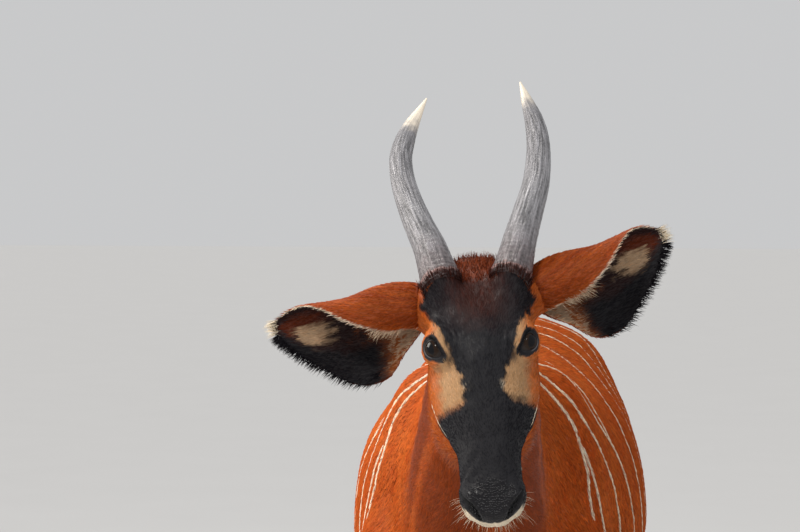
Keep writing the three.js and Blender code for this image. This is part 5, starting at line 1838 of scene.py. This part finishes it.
def poll_hair(sheet, middle, tone):
    """Tousled dark reddish hair between and behind the horns."""
    q = to_head(middle)
    chosen = (np.abs(q[:, 0]) < 34) & (q[:, 1] > 96) & (q[:, 1] < 150) & (q[:, 2] > -70)
    roots = scattered(sheet, 900, 200, chosen)
    draw = np.random.default_rng(201)
    count = len(roots.place)
    up = np.broadcast_to(HEAD_AXES[:, 1], (count, 3))
    start = strewn(draw, roots.normal * 0.7 + up * 0.6, 0.4)
    end = strewn(draw, up - roots.normal * 0.3, 0.6)
    paths = bent_paths(roots.place - roots.normal, start, end, draw.uniform(7, 14, count))
    colour = mix(tone.maroon * 1.5, tone.chestnut, draw.uniform(0.1, 0.7, (count, 1))) * 0.8
    strand_piece("hair_poll", paths, 0.6, colour, head_unwrap(to_head(roots.place)), "coat", 202)


def horn_fringe(name, tone):
    """Short hair that laps up over the foot of a horn: dark before it, chestnut behind."""
    draw = np.random.default_rng(205)
    count = 420
    foot, above = (np.array(HORNS[name][i][:3], float) for i in (0, 1))
    axis = unit(above - foot)
    across = unit(np.cross(axis, (0, 0, 1.0)))
    up = np.cross(axis, across)
    turn = draw.uniform(0, 2 * np.pi, count)
    out = np.cos(turn)[:, None] * across + np.sin(turn)[:, None] * up
    root = foot - axis * draw.uniform(5, 15, count)[:, None] + out * draw.uniform(25.5, 27.5, count)[:, None]
    start = strewn(draw, out * 0.55 + axis, 0.12)
    end = strewn(draw, axis + out * 0.1, 0.15)
    paths = from_head(bent_paths(root, start, end, draw.uniform(9, 17, count)))
    front = step(-0.5, 0.3, out[:, 2] - 0.5 * out[:, 1])[:, None]
    colour = mix(tone.chestnut * 0.7, tone.maroon, front)
    uv = np.column_stack([turn / (2 * np.pi), draw.uniform(0.2, 0.8, count)])
    strand_piece(f"hair_horn_{name}", paths, 0.55, colour, uv, "face", 206)


def whiskers(sheet, middle, tone, longest):
    """Pale whiskers that stand out round the lips, a few of them twice as long."""
    q = to_head(middle)
    near = (head_box_gap(q) <= 0) & (q[:, 1] < -176)
    away = np.full(len(q), 99.0)
    away[near] = near_path(on_left(q[near]), MOUTH)[0]
    roots = scattered(sheet, 130, 210, near & (away > 2) & (away < 15))
    draw = np.random.default_rng(211)
    count = len(roots.place)
    start = strewn(draw, roots.normal, 0.12)
    end = strewn(draw, start + HEAD_AXES @ np.array([0, -0.3, -0.35]), 0.2)
    length = longest * draw.uniform(0.45, 1, count)
    length[::16] *= 2.1
    paths = bent_paths(roots.place - roots.normal, start, end, length, 7)
    uv = head_unwrap(to_head(roots.place))
    strand_piece("hair_whiskers", paths, 0.24, tone.cream, uv, "face", 212, 1.1)


def lashes(name, side, tone):
    """Dark lashes on the edge of the upper lid, which bend up."""
    draw = np.random.default_rng(220)
    count = 46
    angle = np.radians(np.linspace(12, 150, count) + draw.normal(0, 1.5, count))
    root = on_eye(side, angle, rim_at(angle) + math.radians(1), np.full(count, 21.4))
    out = unit(root - mirrored(EYE, side))
    up = eye_axes(side)[1]
    start = strewn(draw, out + 0.2 * up, 0.08)
    end = strewn(draw, out * 0.5 + up, 0.12)
    paths = from_head(bent_paths(root - out, start, end, draw.uniform(6, 9.5, count)))
    uv = np.column_stack([angle / 3, np.full(count, 0.5)])
    strand_piece(f"hair_lashes_{name}", paths, 0.28, tone.ink, uv, "face", 221)


def colour_property(name, value, what):
    return bpy.props.FloatVectorProperty(
        name=name, description=what, subtype="COLOR", default=value, min=0, max=1
    )


def length_property(name, millimetres, what):
    return bpy.props.FloatProperty(
        name=name, description=what, default=millimetres / 1000, min=0, subtype="DISTANCE", unit="LENGTH"
    )


class BongoSettings(bpy.types.PropertyGroup):
    """Colours and sizes of the antelope."""

    chestnut: colour_property("Chestnut", (0.36, 0.056, 0.007), "Main colour of the coat")
    orange: colour_property("Orange", (0.56, 0.140, 0.024), "Brighter hair among the chestnut")
    tan: colour_property("Tan", (0.37, 0.185, 0.066), "Patches beside the bridge of the nose")
    cream: colour_property("Cream", (0.78, 0.66, 0.50), "Stripes, crescent, lips, chin and spots")
    maroon: colour_property("Maroon", (0.036, 0.010, 0.007), "Dark hair of the forehead, belly and shanks")
    slate: colour_property("Slate", (0.010, 0.0095, 0.012), "Short hair of the muzzle and the nose's bridge")
    ink: colour_property("Ink", (0.007, 0.006, 0.008), "Nose pad, rims of the eyes and bands of the legs")
    mane: length_property("Mane", 52, "Longest hair on the ridge of the back")
    whisker: length_property("Whisker", 19, "Longest whisker, but for a few twice as long")
    density: bpy.props.FloatProperty(
        name="Density", description="Share of the tufts made", default=1, min=0.05, max=1, subtype="FACTOR"
    )


def palette(context):
    """The colours of the settings as arrays."""
    settings = context.scene.bongo
    return Palette(*(np.array(getattr(settings, name)) for name in Palette._fields))


SIDES = (("left", 1), ("right", -1))


class BongoPiece:
    """What the operators share."""

    bl_options = {"REGISTER", "UNDO"}


def triangle_middles(sheet):
    return sheet.points[sheet.triangles].mean(axis=1)


class BONGO_OT_skin(BongoPiece, bpy.types.Operator):
    """One skin over head, neck, torso and legs"""

    bl_idname = "bongo.skin"
    bl_label = "Skin"

    def execute(self, context):
        points, triangles, _ = skin_mesh()
        skin = new_piece("skin", points, triangles, paint_at(points, palette(context)))
        q = to_head(points)
        near = head_box_gap(q) <= 0
        wet = np.zeros(len(points))
        wet[near] = wet_nose(q[near])
        set_values(skin.data, "Wet", "FLOAT", wet)
        legs = [f"leg_{leg.name}" for leg in LEGS]
        finish_piece(skin, material("skin"), "coat", "head", "neck", "torso", *legs)
        return {"FINISHED"}


class BONGO_OT_coat(BongoPiece, bpy.types.Operator):
    """Short tufts over the whole skin, in a piece for each region"""

    bl_idname = "bongo.coat"
    bl_label = "Coat"

    def execute(self, context):
        sheet = Sheet(*skin_mesh())
        tone = palette(context)
        middle = triangle_middles(sheet)
        number = region_number(middle)
        share = hair_share(middle)
        for i, region in enumerate(REGIONS):
            weight = np.where(number == i, share, 0)
            roots = scattered(sheet, tuft_count(context, region.count), 60 + i, weight)
            p = roots.place
            # The hair of the stripes stands 0.9 mm proud, so that they stay whole when seen along the body.
            roots = roots._replace(place=p + 0.9 * on_stripe(p)[:, None] * roots.normal)
            look = lie_at(p, roots.normal), paint_at(p, tone), region.unwrap(p)
            coat_piece(region.name, roots, tuft_sizes(p), *look, region.slot, 80 + 2 * i)
        return {"FINISHED"}


class BONGO_OT_horns(BongoPiece, bpy.types.Operator):
    """Two ringed grey horns with ivory tips"""

    bl_idname = "bongo.horns"
    bl_label = "Horns"

    def execute(self, context):
        for name in HORNS:
            t, rings = horn_rings(name)
            points, triangles = closed_tube(rings)
            points = from_head(points)
            along = np.hstack([np.repeat(t, HORN_SIDES), t[0], t[-1]])
            paint = horn_paint(along, waves(points, 9, 7))
            horn = new_piece(f"horn_{name}_sheath", points, triangles, paint)
            turn = np.hstack([np.tile(np.arange(HORN_SIDES) / HORN_SIDES, len(t)), 0, 0])
            set_uv(horn, "Along", np.column_stack([np.abs(turn * 2 - 1), along / 9]))
            finish_piece(horn, material("horn"), "horn", f"horn_{name}")
        return {"FINISHED"}


def ear_leaf(ear, tone):
    """The leaf as a piece. Gives its sheet, and place, s and lift at each of its points."""
    *sides, rings = ear_rings(ear)
    points, triangles = closed_tube(from_head(rings))
    sides = [np.hstack([v.ravel(), v[0, 0], v[-1, 0]]) for v in sides]
    piece = new_piece(f"ear_{ear.name}_leaf", points, triangles, ear_paint(points, *sides, tone))
    finish_piece(piece, material("skin"), "coat", f"ear_{ear.name}")
    return Sheet(points, triangles, point_normals(points, triangles)), sides


def even_sizes(roots, *sizes):
    """The same length, half width and lift for all tufts."""
    return [np.full(len(roots.place), size) for size in sizes]


def ear_coat(ear, number, sheet, sides, tone, count):
    """Short tufts over both faces of a leaf, thinner inside."""
    inner = (sides[2][sheet.triangles] < 0).all(axis=1)
    roots = scattered(sheet, count, 130 + number, np.where(inner, 0.7, 1))
    read = [(v[sheet.triangles[roots.triangle]] * roots.weights).sum(axis=1) for v in sides]
    uv = np.column_stack([read[0] / (len(EAR_ROWS) - 1), read[1] / 4 + 0.25 + 0.5 * (read[2] > 0)])
    lie = np.broadcast_to(HEAD_AXES @ ear.along, roots.place.shape)
    look = lie, ear_paint(roots.place, *read, tone), uv
    sizes = even_sizes(roots, 8, 0.75, 0.16)
    coat_piece(f"coat_ear_{ear.name}", roots, sizes, *look, "coat", 134 + 2 * number)


class BONGO_OT_ears(BongoPiece, bpy.types.Operator):
    """Two rolled ears with ribs inside, their short hair and their fringes"""

    bl_idname = "bongo.ears"
    bl_label = "Ears"

    def execute(self, context):
        tone = palette(context)
        for i, ear in enumerate(EARS):
            sheet, sides = ear_leaf(ear, tone)
            ear_coat(ear, i, sheet, sides, tone, tuft_count(context, 11000))
            ear_hair(ear, tone, 140 + 10 * i)
        return {"FINISHED"}


def eyeball(name, side):
    points, triangles = closed_tube(eyeball_rings(side))
    paint = eye_paint(points, side)
    eye = new_piece(f"eye_{name}_ball", from_head(points), triangles, paint)
    finish_piece(eye, material("eye"), "eye", f"eye_{name}")


def lids(name, side, tone):
    angle, past, grid = lid_grid(side)
    points = grid.reshape(-1, 3)
    faces = grid_faces(*grid.shape[:2])
    faces = faces[:, ::-1] if side < 0 else faces
    piece = new_piece(f"lids_{name}", from_head(points), faces, lid_paint(points, angle, past, tone))
    finish_piece(piece, material("lid"), "face")


class BONGO_OT_eyes(BongoPiece, bpy.types.Operator):
    """Two dark eyes and their lids"""

    bl_idname = "bongo.eyes"
    bl_label = "Eyes and lids"

    def execute(self, context):
        tone = palette(context)
        for name, side in SIDES:
            eyeball(name, side)
            lids(name, side, tone)
        return {"FINISHED"}


def claw(what, leg, place, rings):
    """A hoof or dewclaw as a piece, from its rings."""
    points, triangles = closed_tube(rings)
    node = f"{what}_{leg.name}_{place}"
    piece = new_piece(node + "_horn", points, triangles, np.full(points.shape, HOOF_GREY))
    finish_piece(piece, material("hoof"), "hoof", node)


class BONGO_OT_hooves(BongoPiece, bpy.types.Operator):
    """Two claws and two dewclaws on each foot"""

    bl_idname = "bongo.hooves"
    bl_label = "Hooves"

    def execute(self, context):
        for leg in LEGS:
            end = LEG_LOFTS[leg.name].rows[-1]
            spot = leg_point(leg, leg.fetlock)
            kind = leg.name.split("_")[0]
            for place, side in (("outer", leg.side), ("inner", -leg.side)):
                claw("hoof", leg, place, claw_rings(side, end))
                claw("dewclaw", leg, place, dew_claw_rings(side, kind, spot))
        return {"FINISHED"}


class BONGO_OT_tail(BongoPiece, bpy.types.Operator):
    """The tail's stalk, its short hair and its tuft"""

    bl_idname = "bongo.tail"
    bl_label = "Tail"

    def execute(self, context):
        tone = palette(context)
        points, triangles = closed_tube(tail_rings())
        tail = new_piece("tail_stalk", points, triangles, tail_paint(points, tone))
        finish_piece(tail, material("skin"), "coat", "tail")
        sheet = Sheet(points, triangles, point_normals(points, triangles))
        roots = scattered(sheet, tuft_count(context, 9000), 170)
        p = roots.place
        turn = np.arctan2(p[:, 0], p[:, 1] - 700)
        uv = np.column_stack([(p[:, 2] - 600) / 420, turn / (2 * np.pi) + 0.5])
        look = np.broadcast_to((0, 0.1, -1.0), p.shape), tail_paint(p, tone), uv
        coat_piece("coat_tail", roots, even_sizes(roots, 12, 0.9, 0.16), *look, "coat", 171)
        tail_tuft(tone)
        return {"FINISHED"}


class BONGO_OT_long_hair(BongoPiece, bpy.types.Operator):
    """The mane along the back, the hair between the horns and at their feet, whiskers and lashes"""

    bl_idname = "bongo.long_hair"
    bl_label = "Long hair"

    def execute(self, context):
        sheet = Sheet(*skin_mesh())
        middle = triangle_middles(sheet)
        tone = palette(context)
        settings = context.scene.bongo
        mane(sheet, middle, tone, settings.mane * 1000)
        poll_hair(sheet, middle, tone)
        for name in HORNS:
            horn_fringe(name, tone)
        whiskers(sheet, middle, tone, settings.whisker * 1000)
        for name, side in SIDES:
            lashes(name, side, tone)
        return {"FINISHED"}


# Camera, floor and lights, in metres before the shift, with the lens in millimetres
CAMERA_PLACE = np.array([0.2965, -3.874, 1.38])
CAMERA_TURN = (math.radians(87.21), 0, math.radians(6.9))
CAMERA_LENS = 104.6
CAMERA_REACH = 200
FLOOR_HALF = 30
SKY_COLOUR = (0.97, 0.975, 0.985, 1)
SKY_POWER = 0.6
OVERHEAD_COLOUR = (1, 0.96, 0.9)
OVERHEAD_POWER = 1.5
OVERHEAD_ANGLE = math.radians(22)
OVERHEAD_TURN = (math.radians(-24), math.radians(-22), 0)
Light = namedtuple("Light", "name place target size power colour")
LIGHTS = [
    Light("key light", (-0.9, -3.1, 3.1), (0, -0.8, 1.0), 0.6, 52, (1, 0.96, 0.91)),
    Light("eye light", (1.24, -2.75, 2.94), (0.04, -0.9, 1.13), 0.26, 11, (1, 1, 1)),
    Light("side light", (-2.6, -0.7, 2.3), (0, -0.4, 0.9), 1.2, 60, (1, 0.94, 0.86)),
]


def area_light(row):
    """A soft square light aimed at a point."""
    light = bpy.data.lights.new(row.name, "AREA")
    light.size, light.energy, light.color = row.size, row.power, row.colour
    lamp = add_object(row.name, light)
    place, target = Vector(row.place), Vector(row.target)
    lamp.location = place
    lamp.rotation_euler = (place - target).to_track_quat("Z", "Y").to_euler()


def overhead_light():
    """A wide soft light from above and behind, as even as daylight over the whole floor."""
    light = bpy.data.lights.new("overhead light", "SUN")
    light.energy, light.angle, light.color = OVERHEAD_POWER, OVERHEAD_ANGLE, OVERHEAD_COLOUR
    add_object("overhead light", light).rotation_euler = OVERHEAD_TURN


def floor_material():
    n = Nodes("Pale floor")
    shade = n.spread(n.noise(3, 2), to_min=0.565, to_max=0.585)
    grey = n.add("CombineColor", red=shade, green=shade, blue=shade).outputs[0]
    return n.finish(base_color=grey, roughness=0.9)


def add_floor():
    corners = np.array([(-1, -1, 0), (1, -1, 0), (1, 1, 0), (-1, 1, 0)]) * FLOOR_HALF * 1000.0 - SHIFT * 1000
    floor = new_piece("floor", corners, np.array([(0, 1, 2, 3)]), smooth=False)
    floor.data.materials.append(floor_material())
    floor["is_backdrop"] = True


def add_camera():
    camera = add_object("camera", bpy.data.cameras.new("camera"))
    camera.location = CAMERA_PLACE + SHIFT
    camera.rotation_euler = CAMERA_TURN
    camera.data.lens = CAMERA_LENS
    camera.data.clip_end = CAMERA_REACH
    return camera


def soft_world():
    """An even pale sky."""
    world = bpy.data.worlds.new("Soft studio")
    world.use_nodes = True
    inputs = world.node_tree.nodes["Background"].inputs
    inputs["Color"].default_value = SKY_COLOUR
    inputs["Strength"].default_value = SKY_POWER
    return world


class BONGO_OT_stage(BongoPiece, bpy.types.Operator):
    """The camera, a pale floor and soft lights"""

    bl_idname = "bongo.stage"
    bl_label = "Camera, floor and lights"

    def execute(self, context):
        context.scene.camera = add_camera()
        add_floor()
        context.scene.world = soft_world()
        context.scene.view_settings.view_transform = "Standard"
        for row in LIGHTS:
            area_light(row)
        overhead_light()
        return {"FINISHED"}


OPERATORS = [
    BONGO_OT_skin,
    BONGO_OT_coat,
    BONGO_OT_horns,
    BONGO_OT_ears,
    BONGO_OT_eyes,
    BONGO_OT_hooves,
    BONGO_OT_tail,
    BONGO_OT_long_hair,
    BONGO_OT_stage,
]


class BONGO_PT_panel(bpy.types.Panel):
    """Lists the pieces of the antelope"""

    bl_idname = "BONGO_PT_panel"
    bl_label = "Bongo antelope"
    bl_space_type = "VIEW_3D"
    bl_region_type = "UI"
    bl_category = "Bongo"

    def draw(self, context):
        for operator in OPERATORS:
            self.layout.operator(operator.bl_idname)


CLASSES = [BongoSettings, *OPERATORS, BONGO_PT_panel]


def register():
    for cls in CLASSES:
        bpy.utils.register_class(cls)
    bpy.types.Scene.bongo = bpy.props.PointerProperty(type=BongoSettings)


def unregister():
    del bpy.types.Scene.bongo
    for cls in reversed(CLASSES):
        bpy.utils.unregister_class(cls)


def main():
    register()
    for operator in OPERATORS:
        group, name = operator.bl_idname.split(".")
        getattr(getattr(bpy.ops, group), name)()
    boxes = {"cad": CAD_BOX, "visual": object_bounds()}
    {name: [list(corner) for corner in box] for name, box in boxes.items()}


if __name__ == "__main__":
    main()
